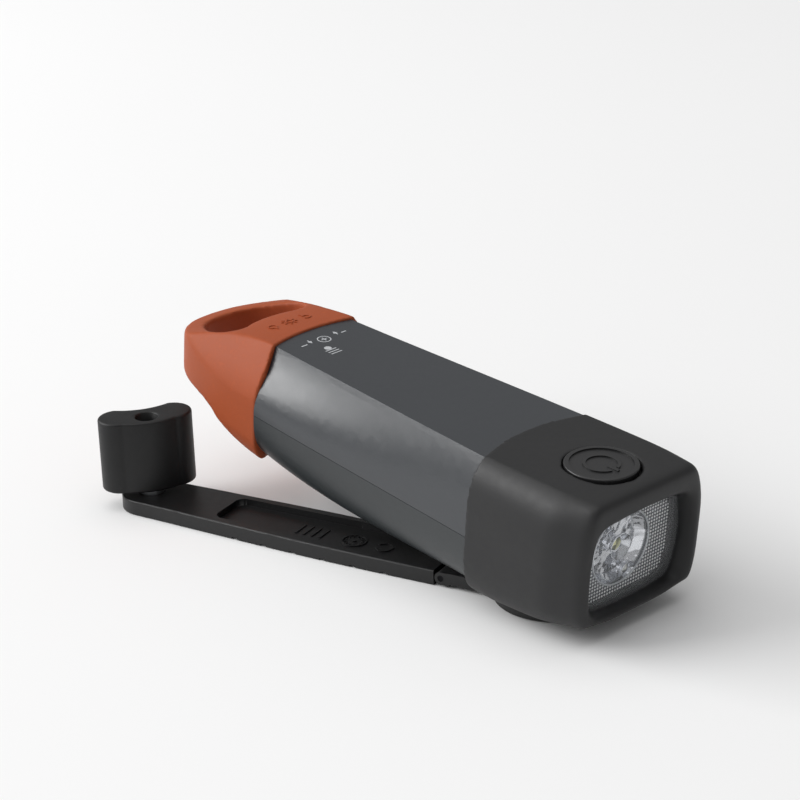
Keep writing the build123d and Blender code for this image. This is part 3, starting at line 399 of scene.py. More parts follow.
def finished(piece):
    """Piece's modifiers made part of its mesh."""
    materials = list(piece.data.materials)
    bpy.context.view_layer.update()
    evaluated = piece.evaluated_get(bpy.context.evaluated_depsgraph_get())
    mesh = bpy.data.meshes.new_from_object(evaluated)
    piece.modifiers.clear()
    piece.data = mesh
    if not mesh.materials:
        for material in materials:
            mesh.materials.append(material)
    return piece


def step(value, low, high):
    """Smooth step of a number from 0 to 1."""
    t = min(1.0, max(0.0, (value - low) / (high - low)))
    return t * t * (3 - 2 * t)


def remeshed(piece, voxel, rounds):
    """Even skin of small quads over a closed piece, a little softened."""
    skin = piece.modifiers.new("skin", "REMESH")
    skin.mode = "VOXEL"
    skin.voxel_size = voxel
    skin.use_smooth_shade = True
    add_softening(piece, rounds)
    return finished(piece)


def add_softening(piece, rounds, group=""):
    """Smooth modifier, over the whole piece or over a vertex group."""
    softening = piece.modifiers.new("softening", "SMOOTH")
    softening.vertex_group = group
    softening.factor = SOFTENING
    softening.iterations = rounds


def rounded(piece, weights, rounds):
    """Piece softened by a weight for each of its vertices."""
    group = piece.vertex_groups.new(name="rounding")
    for index, weight in enumerate(weights):
        if weight > 0:
            group.add([index], weight, "REPLACE")
    add_softening(piece, rounds, group.name)
    finished(piece)
    piece.vertex_groups.clear()
    return piece


def stations(spot):
    """How far ahead, out to the side and low a spot is in the torch's frame, in millimetres."""
    away = spot - TORCH_ORIGIN
    return away.dot(TORCH_X) / MM, abs(spot.y) / MM, -away.dot(TORCH_Z) / MM


def dropper(node):
    """Function that drops a flat point onto the top of a frame node, and gives the normal there."""
    work = bmesh.new()
    work.from_mesh(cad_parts[node].data)
    rays = BVHTree.FromBMesh(work)
    work.free()

    def drop(x, y):
        spot, normal, _, _ = rays.ray_cast(at(x, y, RAY_HEIGHT), -TORCH_Z)
        if spot is None:
            raise RuntimeError("a mark misses " + node)
        return spot, normal

    return drop


def plate(outlines, drop, lift, sink):
    """Closed thin plates that follow a surface: drop puts a flat point on it."""
    work = bmesh.new()
    for outline in outlines:
        tops, feet = [], []
        for x, y in outline:
            spot, normal = drop(x, y)
            tops.append(work.verts.new(spot + normal * lift))
            feet.append(work.verts.new(spot - normal * sink))
        work.faces.new(tops)
        work.faces.new(list(reversed(feet)))
        count = len(outline)
        for i in range(count):
            j = (i + 1) % count
            work.faces.new([tops[j], tops[i], feet[i], feet[j]])
    bmesh.ops.recalc_face_normals(work, faces=work.faces)
    bmesh.ops.triangulate(work, faces=work.faces)
    return mesh_from(work, "plates")


def band(x0, y0, x1, y1, width, pieces=8):
    """Straight bar between two points, cut into short quads."""
    run = Vector((x1 - x0, y1 - y0))
    side = Vector((-run.y, run.x)).normalized() * (0.5 * width)
    quads = []
    for i in range(pieces):
        a = Vector((x0, y0)) + run * (i / pieces)
        b = Vector((x0, y0)) + run * ((i + 1) / pieces)
        quads.append([a - side, b - side, b + side, a + side])
    return quads


def spoke(cx, cy, turn, start, end, width, pieces):
    """Short bar that points away from a centre."""
    c, s = math.cos(turn), math.sin(turn)
    return band(cx + start * c, cy + start * s, cx + end * c, cy + end * s, width, pieces)


def ring(cx, cy, radius, width, start=0.0, end=360.0, steps=36):
    """Arc or full ring as short quads."""
    quads = []
    for i in range(steps):
        a, b = [math.radians(start + (end - start) * k / steps) for k in (i, i + 1)]
        inner, outer = radius - 0.5 * width, radius + 0.5 * width
        quads.append([Vector((cx + r * math.cos(t), cy + r * math.sin(t)))
                      for r, t in ((inner, a), (outer, a), (outer, b), (inner, b))])
    return quads


def disc(cx, cy, radius, steps=20):
    """Flat round spot."""
    return [[Vector((cx + radius * math.cos(math.tau * i / steps),
                     cy + radius * math.sin(math.tau * i / steps))) for i in range(steps)]]


def arrow(x0, y0, x1, y1, width, head):
    """Bar with a triangular head at its second end."""
    along = Vector((x1 - x0, y1 - y0)).normalized()
    side = Vector((-along.y, along.x)) * (0.5 * head)
    tip, foot = Vector((x1, y1)), Vector((x1, y1)) - along * head
    return band(x0, y0, *(foot + along * 0.1), width) + [[foot - side, tip, foot + side]]


# ---------------------------------------------------------------- sizes and colours
class TorchFinishes(bpy.types.PropertyGroup):
    body: bpy.props.FloatVectorProperty(
        name="Body", description="Colour of the grey body shells", subtype="COLOR", size=4,
        default=rgb("#262A2F"))
    body_lower: bpy.props.FloatVectorProperty(
        name="Lower body", description="Colour of the lower body shell", subtype="COLOR", size=4,
        default=rgb("#292D2F"))
    head: bpy.props.FloatVectorProperty(
        name="Head", description="Colour of the head and its button", subtype="COLOR", size=4,
        default=rgb("#1E1E1F"))
    tail: bpy.props.FloatVectorProperty(
        name="Tail", description="Colour of the soft tail cap", subtype="COLOR", size=4,
        default=rgb("#9E4A26"))
    crank: bpy.props.FloatVectorProperty(
        name="Crank", description="Colour of the crank's arm, hub and knob", subtype="COLOR", size=4,
        default=rgb("#101011"))
    ink: bpy.props.FloatVectorProperty(
        name="Ink", description="Colour of the printed marks", subtype="COLOR", size=4,
        default=rgb("#B9BBBE"))


class TorchDetails(bpy.types.PropertyGroup):
    facet_pitch: bpy.props.FloatProperty(
        name="Lens prism pitch", description="Distance between the prisms of the lens",
        default=0.88 * MM, min=0.0003, subtype="DISTANCE", unit="LENGTH")
    facet_size: bpy.props.FloatProperty(
        name="Lens prism size", description="Width of one prism of the lens",
        default=0.36 * MM, min=0.0001, subtype="DISTANCE", unit="LENGTH")
    voxel: bpy.props.FloatProperty(
        name="Tail skin", description="Mesh size of the tail cap's soft skin",
        default=0.42 * MM, min=0.0002, subtype="DISTANCE", unit="LENGTH")
    emblem_lift: bpy.props.FloatProperty(
        name="Emblem height", description="How far the tail cap's pictograms stand out",
        default=0.22 * MM, min=0.0, subtype="DISTANCE", unit="LENGTH")


# ---------------------------------------------------------------- shells
HEAD_VOXEL = 0.4 * MM
HEAD_SKIN_ROUNDS = 2         # rounds of softening all over, and then at the lip
HEAD_ROUNDS = 110
# each pair below says where a change of the head begins and where it is full
LIP_DRAW = 1.9               # how far the lip's sides draw in
LIP_AHEAD, LIP_OUT = (25.0, 37.0), (16.5, 22.0)
CORNER_LIFT = 1.5            # how far its lower corners rise
CORNER_AHEAD, CORNER_OUT, CORNER_LOW = (20.0, 37.0), (8.0, 18.0), (27.0, 33.0)
SOFT_AHEAD = (22.0, 33.5)    # softened lip
CHIN_AHEAD, CHIN_LOW = (6.0, 20.0), (26.0, 31.0)  # softened underside


class TORCH_OT_shells(bpy.types.Operator):
    """Smooth skins of the head and of the two body shells"""
    bl_idname = "torch.shells"
    bl_label = "Head and body shells"

    def execute(self, context):
        look = context.scene.torch_finishes
        head = moulded("head_soft_black", look.head, 0.5, gloss=0.42)
        for node, material, slot in (
                ("head_shell", head, "head_black"),
                ("upper_shell", moulded("body_anthracite", look.body, 0.33, gloss=0.9), "body_grey"),
                ("lower_shell", moulded("body_lower", look.body_lower, 0.36, gloss=0.6),
                 "body_lower_grey"),
                ("power_button", moulded("button_black", look.head, 0.36, gloss=0.55), "head_black")):
            body = "button" if node == "power_button" else "torch"
            piece = link(node + "_skin", merged_copy(node), material, body)
            if node == "head_shell":
                self.soften(piece)
            else:
                even_shading(piece)
            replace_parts(piece, node)
        return {"FINISHED"}

    def soften(self, piece):
        """Head with the rounded edges of a soft moulding, most of all round its lip."""
        remeshed(piece, HEAD_VOXEL, HEAD_SKIN_ROUNDS)
        weights = []
        for vertex in piece.data.vertices:
            ahead, side, low = stations(vertex.co)
            inward = LIP_DRAW * step(ahead, *LIP_AHEAD) * step(side, *LIP_OUT)
            raised = CORNER_LIFT * step(ahead, *CORNER_AHEAD) * step(side, *CORNER_OUT)
            raised *= step(low, *CORNER_LOW)
            vertex.co.y -= math.copysign(inward * MM, vertex.co.y)
            vertex.co += TORCH_Z * (raised * MM)
            weights.append(max(step(ahead, *SOFT_AHEAD),
                               step(ahead, *CHIN_AHEAD) * step(low, *CHIN_LOW)))
        rounded(piece, weights, HEAD_ROUNDS)


# ---------------------------------------------------------------- tail cap and printed marks
TAIL_SKIN_ROUNDS = 5         # rounds of softening all over, and then at the loop
TAIL_ROUNDS = 26
LOOP_STATIONS = (82.0, 92.0)  # behind the torch's origin, where the loop begins and is full
EMBLEM_ROW = -90.0           # station of the pictograms, over the neck
EMBLEM_LINE = 0.32
EMBLEM_SINK = 0.3 * MM
PRINT_ROW = -75.6            # station of the printed plus and arrows
PRINT_LIFT, PRINT_SINK = 0.015 * MM, 0.02 * MM


class TORCH_OT_tail(bpy.types.Operator):
    """Soft tail cap with rounded edges and raised pictograms"""
    bl_idname = "torch.tail"
    bl_label = "Tail cap"

    def execute(self, context):
        look, size = context.scene.torch_finishes, context.scene.torch_details
        rubber = rubbery("tail_terracotta", look.tail, tint(look.tail, 1.5), 0.58)
        piece = link("tail_cap_skin", merged_copy("tail_cap"), rubber, "tail")
        remeshed(piece, size.voxel, TAIL_SKIN_ROUNDS)
        weights = [step(-stations(vertex.co)[0], *LOOP_STATIONS) for vertex in piece.data.vertices]
        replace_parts(rounded(piece, weights, TAIL_ROUNDS), "tail_cap")
        self.emblems(size, rubber)
        return {"FINISHED"}

    def emblems(self, size, rubber):
        """Water drop, sun and hook, in a row over the neck."""
        marks = ring(EMBLEM_ROW - 0.2, -5.6, 1.15, EMBLEM_LINE, 30, 330, 24)
        marks += [[Vector((EMBLEM_ROW + x, y)) for x, y in ((0.7, -6.2), (2.3, -5.6), (0.7, -5.0))]]
        marks += ring(EMBLEM_ROW, 0.0, 0.95, EMBLEM_LINE, steps=24)
        for i in range(8):
            marks += spoke(EMBLEM_ROW, 0.0, math.radians(45 * i + 22.5), 1.5, 2.2, EMBLEM_LINE, 2)
        marks += ring(EMBLEM_ROW + 0.6, 5.4, 1.1, 0.34, -60, 210, 20)
        marks += band(EMBLEM_ROW - 0.5, 5.1, EMBLEM_ROW - 2.2, 5.1, 0.34, 4)
        mesh = plate(marks, dropper("tail_cap"), size.emblem_lift, EMBLEM_SINK)
        link("tail_pictograms", mesh, rubber, "tail")


class TORCH_OT_print(bpy.types.Operator):
    """Generic printed marks near the tail seam"""
    bl_idname = "torch.print"
    bl_label = "Printed marks"

    def execute(self, context):
        row = PRINT_ROW
        # plus in a ring
        marks = ring(row, -0.6, 1.75, 0.3) + band(row - 0.9, -0.6, row + 0.9, -0.6, 0.34)
        marks += band(row, -1.5, row, 0.3, 0.34)
        # an arrow and a bar on each side of it
        marks += arrow(row, 4.2, row - 2.1, 4.2, 0.36, 1.3) + band(row - 0.2, 7.2, row - 0.2, 5.6, 0.42)
        marks += arrow(row - 2.1, -4.6, row, -4.6, 0.36, 1.3)
        marks += band(row - 0.2, -8.2, row - 0.2, -6.2, 0.42)
        # dot and three bars
        marks += disc(row + 4.8, -3.6, 1.0)
        for i in range(3):
            place = row + 6.0 + 1.1 * i
            marks += band(place, -5.4, place, -1.8, 0.34)
        mesh = plate(marks, dropper("upper_shell"), PRINT_LIFT, PRINT_SINK)
        ink = printed("print_ink", context.scene.torch_finishes.ink)
        link("print_marks", mesh, ink, "torch")
        return {"FINISHED"}


# ---------------------------------------------------------------- lens
LENS_BACK = 31.0             # station of the lens's rear face
PRISM_INSET = 0.45           # how far behind it the prisms stand
GRID_WIDTH, GRID_HEIGHT = 36.0 * MM, 29.0 * MM
FACE_HALF_WIDTH, FACE_HALF_HEIGHT = 15.8 * MM, 12.1 * MM
FACE_POWER = 5.0             # how square the lens's rounded outline is
PRISM_DEPTH = 0.6            # for each unit of its size
RING_INSET = 0.25
RING_THICK = 0.22 * MM
RING_STEPS, RING_SIDES = 96, 10
CUP_STEPS = 64
# a cup's name, its place in the window and its scale
CUPS = (("main_cup", (0.0, 0.3), 1.0), ("side_cup", (3.5, -7.4), 0.66))
# a cup's section: radius and torch station, round its wall
CUP_PROFILE = ((2.15, 29.15), (2.5, 29.7), (3.1, 30.5), (3.35, 30.75), (3.5, 30.7), (3.5, 30.45),
               (2.9, 29.8), (2.4, 29.1))


def prism_tree(material):
    """Geometry nodes: small square prisms over the lens outline, none in its clear window."""
    tree = bpy.data.node_groups.new("lens_prisms", "GeometryNodeTree")
    face = tree.interface
    face.new_socket("Outline", in_out="INPUT", socket_type="NodeSocketGeometry")
    for name in ("Pitch", "Size", "Window", "Side"):
        face.new_socket(name, in_out="INPUT", socket_type="NodeSocketFloat")
    face.new_socket("Prisms", in_out="OUTPUT", socket_type="NodeSocketGeometry")
    add, join = tree.nodes.new, tree.links.new
    start, end = add("NodeGroupInput"), add("NodeGroupOutput")

    def maths(operation, *values):
        made = add("ShaderNodeMath")
        made.operation = operation
        for socket, value in zip(made.inputs, values):
            if isinstance(value, bpy.types.NodeSocket):
                join(value, socket)
            else:
                socket.default_value = value
        return made.outputs[0]

    grid = add("GeometryNodeMeshGrid")
    grid.inputs["Size X"].default_value = GRID_WIDTH
    grid.inputs["Size Y"].default_value = GRID_HEIGHT
    join(maths("DIVIDE", GRID_WIDTH, start.outputs["Pitch"]), grid.inputs["Vertices X"])
    join(maths("DIVIDE", GRID_HEIGHT, start.outputs["Pitch"]), grid.inputs["Vertices Y"])
    points = add("GeometryNodeMeshToPoints")
    join(grid.outputs["Mesh"], points.inputs["Mesh"])
    where = add("GeometryNodeInputPosition")
    split = add("ShaderNodeSeparateXYZ")
    join(where.outputs[0], split.inputs[0])
    away = maths("SUBTRACT", split.outputs[0], start.outputs["Side"])
    radius = maths("SQRT", maths("ADD", maths("MULTIPLY", away, away),
                                 maths("MULTIPLY", split.outputs[1], split.outputs[1])))
    in_window = maths("LESS_THAN", radius, start.outputs["Window"])
    # outside the rounded outline, whose sides bow a little as the lens's do
    shares = [maths("POWER", maths("ABSOLUTE", maths("DIVIDE", socket, half)), FACE_POWER)
              for socket, half in zip(split.outputs, (FACE_HALF_WIDTH, FACE_HALF_HEIGHT))]
    outside = maths("GREATER_THAN", maths("ADD", *shares), 1.0)
    drop = add("GeometryNodeDeleteGeometry")
    join(points.outputs[0], drop.inputs["Geometry"])
    join(maths("MAXIMUM", in_window, outside), drop.inputs["Selection"])
    prism = add("GeometryNodeMeshCone")
    prism.inputs["Vertices"].default_value = 4
    prism.inputs["Radius Top"].default_value = 0.0
    join(start.outputs["Size"], prism.inputs["Radius Bottom"])
    join(maths("MULTIPLY", start.outputs["Size"], PRISM_DEPTH), prism.inputs["Depth"])
    spread = add("GeometryNodeInstanceOnPoints")
    join(drop.outputs[0], spread.inputs["Points"])
    join(prism.outputs["Mesh"], spread.inputs["Instance"])
    real = add("GeometryNodeRealizeInstances")
    join(spread.outputs[0], real.inputs[0])
    paint = add("GeometryNodeSetMaterial")
    paint.inputs["Material"].default_value = material
    join(real.outputs[0], paint.inputs["Geometry"])
    join(paint.outputs[0], end.inputs[0])
    return tree


def set_inputs(modifier, **values):
    """Sets a Geometry Nodes modifier's inputs by their names."""
    for item in modifier.node_group.interface.items_tree:
        if item.item_type == "SOCKET" and item.in_out == "INPUT" and item.name in values:
            modifier[item.identifier] = values[item.name]


class TORCH_OT_lens(bpy.types.Operator):
    """Clear lens, its pressed prisms and the ring round its window"""
    bl_idname = "torch.lens"
    bl_label = "Lens"

    def execute(self, context):
        size = context.scene.torch_details
        clear, facet = lens_clear(), lens_facet_painted_reflection()
        mesh = merged_copy("lens")
        smooth(mesh, 30)
        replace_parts(link("lens_window", mesh, clear, "torch"), "lens")
        self.prisms(size, facet)
        self.window_ring()
        self.cups()
        return {"FINISHED"}

    def prisms(self, size, facet):
        """The pressed pattern, laid flat by its node tree and then stood behind the lens."""
        piece = placed("lens_prisms", bpy.data.meshes.new("prism_seed"))
        pattern = piece.modifiers.new("prisms", "NODES")
        pattern.node_group = prism_tree(facet)
        set_inputs(pattern, Pitch=size.facet_pitch, Size=size.facet_size,
                   Window=WINDOW_RADIUS * MM, Side=WINDOW_PLACE[0] * MM)
        finished(piece)
        upright = Matrix((TORCH_Y, TORCH_Z, TORCH_X)).transposed().to_4x4()
        upright.translation = at(LENS_BACK - PRISM_INSET, 0, WINDOW_PLACE[1])
        piece.data.transform(upright)
        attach(piece, "torch")

    def cups(self):
        """Bright flared cups round the two lights."""
        silver = metal("cup_silver", rgb("#DADDE2"), 0.16)
        for name, place, scale in CUPS:
            y, z = WINDOW_PLACE[0] + place[0], WINDOW_PLACE[1] + place[1]
            work = bmesh.new()
            rings = []
            for i in range(CUP_STEPS):
                turn = math.tau * i / CUP_STEPS
                c, s = math.cos(turn) * scale, math.sin(turn) * scale
                rings.append([work.verts.new(at(x, y + r * c, z + r * s)) for r, x in CUP_PROFILE])
            join_rings(work, rings)
            mesh = closed_mesh(work, name)
            smooth(mesh, 40)
            link(name, mesh, silver, "torch")

    def window_ring(self):
        """Fine bright ring round the clear window."""
        work = bmesh.new()
        centre = at(LENS_BACK - RING_INSET, *WINDOW_PLACE)
        rings = []
        for i in range(RING_STEPS):
            turn = math.tau * i / RING_STEPS
            out = TORCH_Y * math.cos(turn) + TORCH_Z * math.sin(turn)
            hub = centre + out * (WINDOW_RADIUS * MM)
            sides = [math.tau * k / RING_SIDES for k in range(RING_SIDES)]
            rings.append([work.verts.new(hub + out * (RING_THICK * math.cos(side))
                                         + TORCH_X * (RING_THICK * math.sin(side))) for side in sides])
        join_rings(work, rings)
        mesh = closed_mesh(work, "window_ring")
        smooth(mesh, 60)
        link("window_ring", mesh, metal("ring_silver", rgb("#C9CCD1"), 0.3), "torch")


# ---------------------------------------------------------------- crank
KNOB_REACH = 121.0           # from the crank's axis to the knob's
KNOB_TURN = math.radians(63.6)
KNOB_RUN = 7.3               # half the run between its two round ends
KNOB_HALF_DEPTH = 5.3
KNOB_BOW = 1.7               # how far its ends bend out of line
KNOB_SHIFT = 0.6             # how far the whole outline moves the same way
KNOB_FOOT, KNOB_TOP = 5.3, 25.3
KNOB_HOLE, KNOB_HOLE_FLOOR = 3.0, 16.4
KNOB_EDGE = 0.7              # radius of its soft edges
EDGE_STEPS = 4
HOLE_CHAMFER = 0.25
CHANNEL_FLOOR = 2.1 * MM     # height of the arm's channel
DIAL_PLACE, BARS_PLACE, ARC_PLACE = 58.0, 67.0, 49.0
CAST_LIFT, CAST_SINK = 0.25 * MM, 0.1 * MM
TOP_SHARES = (0.5, 0.85)     # rings of the knob's flat top, on the way from its edge to its hole


def knob_outline(inset, points=120):
    """Outline of the bent knob drawn in by an inset, as along and across pairs."""
    radius = KNOB_HALF_DEPTH - inset
    straight, bend = 2 * KNOB_RUN, math.pi * radius
    total = 2 * (straight + bend)
    outline = []
    for i in range(points):
        way = total * i / points
        if way < straight:
            along, across = way - KNOB_RUN, -radius
        elif way < straight + bend:
            turn = (way - straight) / radius - math.pi / 2
            along, across = KNOB_RUN + radius * math.cos(turn), radius * math.sin(turn)
        elif way < 2 * straight + bend:
            along, across = KNOB_RUN - (way - straight - bend), radius
        else:
            turn = (way - 2 * straight - bend) / radius + math.pi / 2
            along, across = -KNOB_RUN + radius * math.cos(turn), radius * math.sin(turn)
        outward = min(1.0, abs(along) / KNOB_RUN)
        outline.append((along, across + KNOB_BOW * outward ** 2 + KNOB_SHIFT))
    return outline


def knob_mesh():
    """Bent knob with soft edges and a round hole in its top."""
    c, s = math.cos(KNOB_TURN), math.sin(KNOB_TURN)
    middle = ARM_DIR * (KNOB_REACH * MM)

    def spot(along, across, height):
        return middle + Vector((c * along - s * across, s * along + c * across, height)) * MM

    work = bmesh.new()
    turns = [math.pi / 2 * k / EDGE_STEPS for k in range(EDGE_STEPS + 1)]
    levels = [(KNOB_EDGE * (1 - math.sin(turn)), KNOB_FOOT + KNOB_EDGE * (1 - math.cos(turn)))
              for turn in turns]
    levels += [(KNOB_EDGE * (1 - math.cos(turn)), KNOB_TOP - KNOB_EDGE * (1 - math.sin(turn)))
               for turn in turns]
    rows = [[work.verts.new(spot(a, w, height)) for a, w in knob_outline(inset)]
            for inset, height in levels]
    outline = knob_outline(KNOB_EDGE)
    angles = [math.atan2(w, a) for a, w in outline]
    for share in TOP_SHARES:
        rows.append([work.verts.new(spot(a + (KNOB_HOLE * math.cos(t) - a) * share,
                                         w + (KNOB_HOLE * math.sin(t) - w) * share, KNOB_TOP))
                     for (a, w), t in zip(outline, angles)])
    for radius, height in ((KNOB_HOLE + HOLE_CHAMFER, KNOB_TOP), (KNOB_HOLE, KNOB_TOP - HOLE_CHAMFER),
                           (KNOB_HOLE, KNOB_HOLE_FLOOR)):
        rows.append([work.verts.new(spot(radius * math.cos(t), radius * math.sin(t), height))
                     for t in angles])
    count = len(outline)
    for low, high in zip(rows, rows[1:]):
        for i in range(count):
            j = (i + 1) % count
            work.faces.new([low[i], low[j], high[j], high[i]])
    work.faces.new(list(reversed(rows[0])))
    work.faces.new(rows[-1])
    return closed_mesh(work, "knob")


class TORCH_OT_crank(bpy.types.Operator):
    """Crank arm, hub and knob, with the arm's moulded marks"""
    bl_idname = "torch.crank"
    bl_label = "Crank"

    def execute(self, context):
        look = context.scene.torch_finishes
        black = moulded("crank_black", look.crank, 0.42, grain=0.02, grain_scale=5200, gloss=0.5,
                        variation=0.14)
        soft = moulded("knob_black", tint(look.crank, 1.05), 0.5, grain=0.02, grain_scale=6500,
                       gloss=0.4)
        for node, body, material in (("crank_arm", "arm", black), ("crank_hub", "crank", black),
                                     ("hub_cover", "crank", black)):
            piece = link(node + "_skin", merged_copy(node), material, body)
            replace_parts(even_shading(piece), node)
        self.marks(black)
        knob = link("knob_skin", knob_mesh(), soft, "knob")
        smooth(knob.data, 50)
        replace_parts(knob, "knob")
        return {"FINISHED"}

    def marks(self, black):
        """Mould dial and plain cast bars in the arm's channel."""
        def drop(u, w):
            return on_arm(u, w, CHANNEL_FLOOR), Vector((0, 0, 1))

        shapes = ring(DIAL_PLACE, 0.0, 3.2, 0.4) + disc(DIAL_PLACE, 0.0, 0.6)
        for i in range(12):
            shapes += spoke(DIAL_PLACE, 0.0, math.tau * i / 12, 2.0, 2.6, 0.3, 1)
        for i in range(4):
            place = BARS_PLACE + 2.4 * i
            shapes += band(place, -2.6, place, 2.6, 0.5, 2)
        shapes += ring(ARC_PLACE, 0.0, 2.2, 0.4, 20, 340, 24)
        mesh = plate(shapes, drop, CAST_LIFT, CAST_SINK)
        link("arm_marks", mesh, black, "arm")


# ---------------------------------------------------------------- inner pieces
class TORCH_OT_works(bpy.types.Operator):
    """Finishes of the light, the gears, the battery and the fixings"""
    bl_idname = "torch.works"
    bl_label = "Inner pieces"

    def execute(self, context):
        finishes = {
            bowl_chrome(): ("reflector",),
            rubbery("gasket_black", rgb("#151516"), rgb("#2A2A2B"), 0.65): ("lens_gasket", "button_pad"),
            phosphor("chip_yellow", rgb("#F2EF8A"), rgb("#E8E6C8")): ("main_led",),
            phosphor("chip_white", rgb("#F4F4F0"), rgb("#DADAD4")): ("side_led",),
            board_green(): ("led_board", "switch_board", "main_board"),
            metal("plate_aluminium", rgb("#BFC1C4"), 0.4, 0.2): ("heat_sink",),
            metal("steel_bright", rgb("#A9ABAE"), 0.32, 0.1): (
                "power_switch", "gear_screws", "idler_axle", "hub_screw", "crank_shaft", "shaft_clip",
                "knob_axle", "knob_screw", "housing_screws", "rotor_shaft", "battery_contacts",
                "usb_out_port", "usb_in_port"),
            metal("pin_blackened", rgb("#222224"), 0.45): ("hinge_pin",),
            metal("core_iron", rgb("#5A5A5E"), 0.5, 0.3): ("generator_rotor", "stator_core"),
            wound_copper(): ("stator_coils",),
            metal("brass_turned", rgb("#C9A45B"), 0.28, 0.15): (
                "lower_bush", "upper_bush", "rotor_bush"),
            moulded("gear_white", rgb("#E3E0D6"), 0.45): ("drive_gear", "idler_gear"),
            moulded("frame_black", rgb("#1E1E20"), 0.5): (
                "gearbox_frame", "battery_cradle", "port_plate"),
            cell_wrap(): ("battery_cell",),
        }
        for material, nodes in finishes.items():
            for node in nodes:
                painted(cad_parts[node].data, material)
        return {"FINISHED"}


# ---------------------------------------------------------------- stage
CAMERA_TILT = math.radians(22.319)
CAMERA_ROLL = math.radians(-2.166)
CAMERA_TURN = math.radians(47.506)
CAMERA_SHIFT = (-32.669, 8.887)
CAMERA_DISTANCE = 626.677
CAMERA_LENS = 117.0
CAMERA_AIM = Vector((-6.5, 0, 39.9)) * MM
SENSOR_WIDTH = 36.0
NEAREST_SEEN = 10.0 * MM
# the lights and the floor are in metres and watts
SOFTBOX_AIM = Vector((-0.05, 0, 0.02))
SOFTBOX_AWAY = Vector((-1.35, -1.15, 1.02))
SOFTBOX_WIDTH, SOFTBOX_HEIGHT, SOFTBOX_POWER = 1.9, 0.8, 34.0
SUN_STRENGTH, SUN_SPREAD = 1.05, math.radians(70)
SUN_TURN = (math.radians(8), math.radians(-6), 0)
WORLD_STRENGTH = 0.40
FLOOR_REACH, FLOOR_HEIGHT = 20.0, -0.0002


def camera_axes():
    """Right, up and backward direction of the camera in the row frame."""
    ct, st = math.cos(CAMERA_TILT), math.sin(CAMERA_TILT)
    cr, sr = math.cos(CAMERA_ROLL), math.sin(CAMERA_ROLL)
    back = Vector((0, -ct, st))
    across, rise = Vector((1, 0, 0)), Vector((0, st, ct))
    right = across * cr + rise * sr
    up = rise * cr - across * sr
    ca, sa = math.cos(CAMERA_TURN), math.sin(CAMERA_TURN)

    def to_row(v):
        return Vector((ca * v.x - sa * v.y, sa * v.x + ca * v.y, v.z))

    return [to_row(v) for v in (right, up, back)]


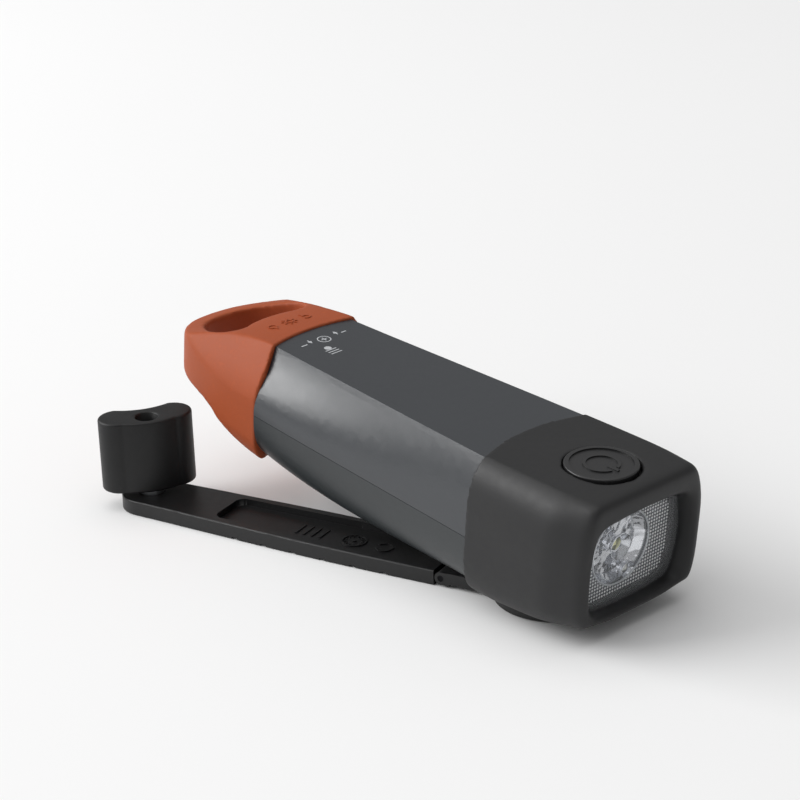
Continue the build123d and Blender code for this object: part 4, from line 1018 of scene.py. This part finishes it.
class TORCH_OT_stage(bpy.types.Operator):
    """Pale floor, soft light and the camera"""
    bl_idname = "torch.stage"
    bl_label = "Stage"

    def execute(self, context):
        scene = context.scene
        scene.view_settings.view_transform = "Standard"
        right, up, back = camera_axes()
        lens = bpy.data.cameras.new("camera")
        lens.lens = CAMERA_LENS
        lens.sensor_width = SENSOR_WIDTH
        lens.clip_start = NEAREST_SEEN
        camera = placed("camera", lens)
        turn = Matrix((right, up, back)).transposed().to_4x4()
        place = (CAMERA_AIM + (right * CAMERA_SHIFT[0] + up * CAMERA_SHIFT[1]
                               + back * CAMERA_DISTANCE) * MM)
        camera.matrix_world = Matrix.Translation(place) @ turn
        scene.camera = camera
        self.floor()
        self.world(scene)
        self.lamps()
        return {"FINISHED"}

    def lamps(self):
        """One wide soft box from the left and one soft sun from above."""
        box = bpy.data.lights.new("softbox_left", "AREA")
        box.shape = "RECTANGLE"
        box.size, box.size_y, box.energy = SOFTBOX_WIDTH, SOFTBOX_HEIGHT, SOFTBOX_POWER
        softbox = placed("softbox_left", box)
        softbox.location = SOFTBOX_AIM + SOFTBOX_AWAY
        softbox.rotation_euler = SOFTBOX_AWAY.to_track_quat("Z", "Y").to_euler()
        light = bpy.data.lights.new("sun", "SUN")
        light.energy, light.angle = SUN_STRENGTH, SUN_SPREAD
        placed("sun", light).rotation_euler = SUN_TURN

    def floor(self):
        """Pale, faintly clouded floor."""
        finish = Finish("floor_pale")
        cloud = finish.noise(3.0, 2.0)
        shade = finish.blend(cloud, rgb("#F1F1F1"), rgb("#F3F3F3"))
        finish.shader.inputs["Specular IOR Level"].default_value = 0.1
        finish.set(base_color=shade, roughness=0.9)
        mesh = bpy.data.meshes.new("floor")
        corners = [(x * FLOOR_REACH, y * FLOOR_REACH, FLOOR_HEIGHT)
                   for x, y in ((-1, -1), (1, -1), (1, 1), (-1, 1))]
        mesh.from_pydata(corners, [], [(0, 1, 2, 3)])
        placed("floor", painted(mesh, finish.material))

    def world(self, scene):
        """Even pale light from all round."""
        world = bpy.data.worlds.new("studio")
        scene.world = world
        world.use_nodes = True
        tree = world.node_tree
        tree.nodes.clear()
        out = tree.nodes.new("ShaderNodeOutputWorld")
        back = tree.nodes.new("ShaderNodeBackground")
        back.inputs[0].default_value = rgb("#F3F3F3")
        back.inputs[1].default_value = WORLD_STRENGTH
        tree.links.new(back.outputs[0], out.inputs[0])


class TORCH_PT_panel(bpy.types.Panel):
    """Buttons that build the torch's pieces"""
    bl_label = "Torch"
    bl_idname = "TORCH_PT_panel"
    bl_space_type = "VIEW_3D"
    bl_region_type = "UI"
    bl_category = "Torch"

    def draw(self, context):
        for group in (context.scene.torch_finishes, context.scene.torch_details):
            for key in group.__annotations__:
                self.layout.prop(group, key)
        for job in JOBS:
            self.layout.operator(job.bl_idname)


JOBS = (TORCH_OT_works, TORCH_OT_shells, TORCH_OT_tail, TORCH_OT_print, TORCH_OT_lens,
        TORCH_OT_crank, TORCH_OT_stage)
CLASSES = (TorchFinishes, TorchDetails, *JOBS, TORCH_PT_panel)


def register():
    for cls in CLASSES:
        bpy.utils.register_class(cls)
    bpy.types.Scene.torch_finishes = bpy.props.PointerProperty(type=TorchFinishes)
    bpy.types.Scene.torch_details = bpy.props.PointerProperty(type=TorchDetails)


def unregister():
    del bpy.types.Scene.torch_details
    del bpy.types.Scene.torch_finishes
    for cls in reversed(CLASSES):
        bpy.utils.unregister_class(cls)


def main():
    register()
    for job in JOBS:
        group, name = job.bl_idname.split(".")
        getattr(getattr(bpy.ops, group), name)()


if __name__ == "__main__":
    main()
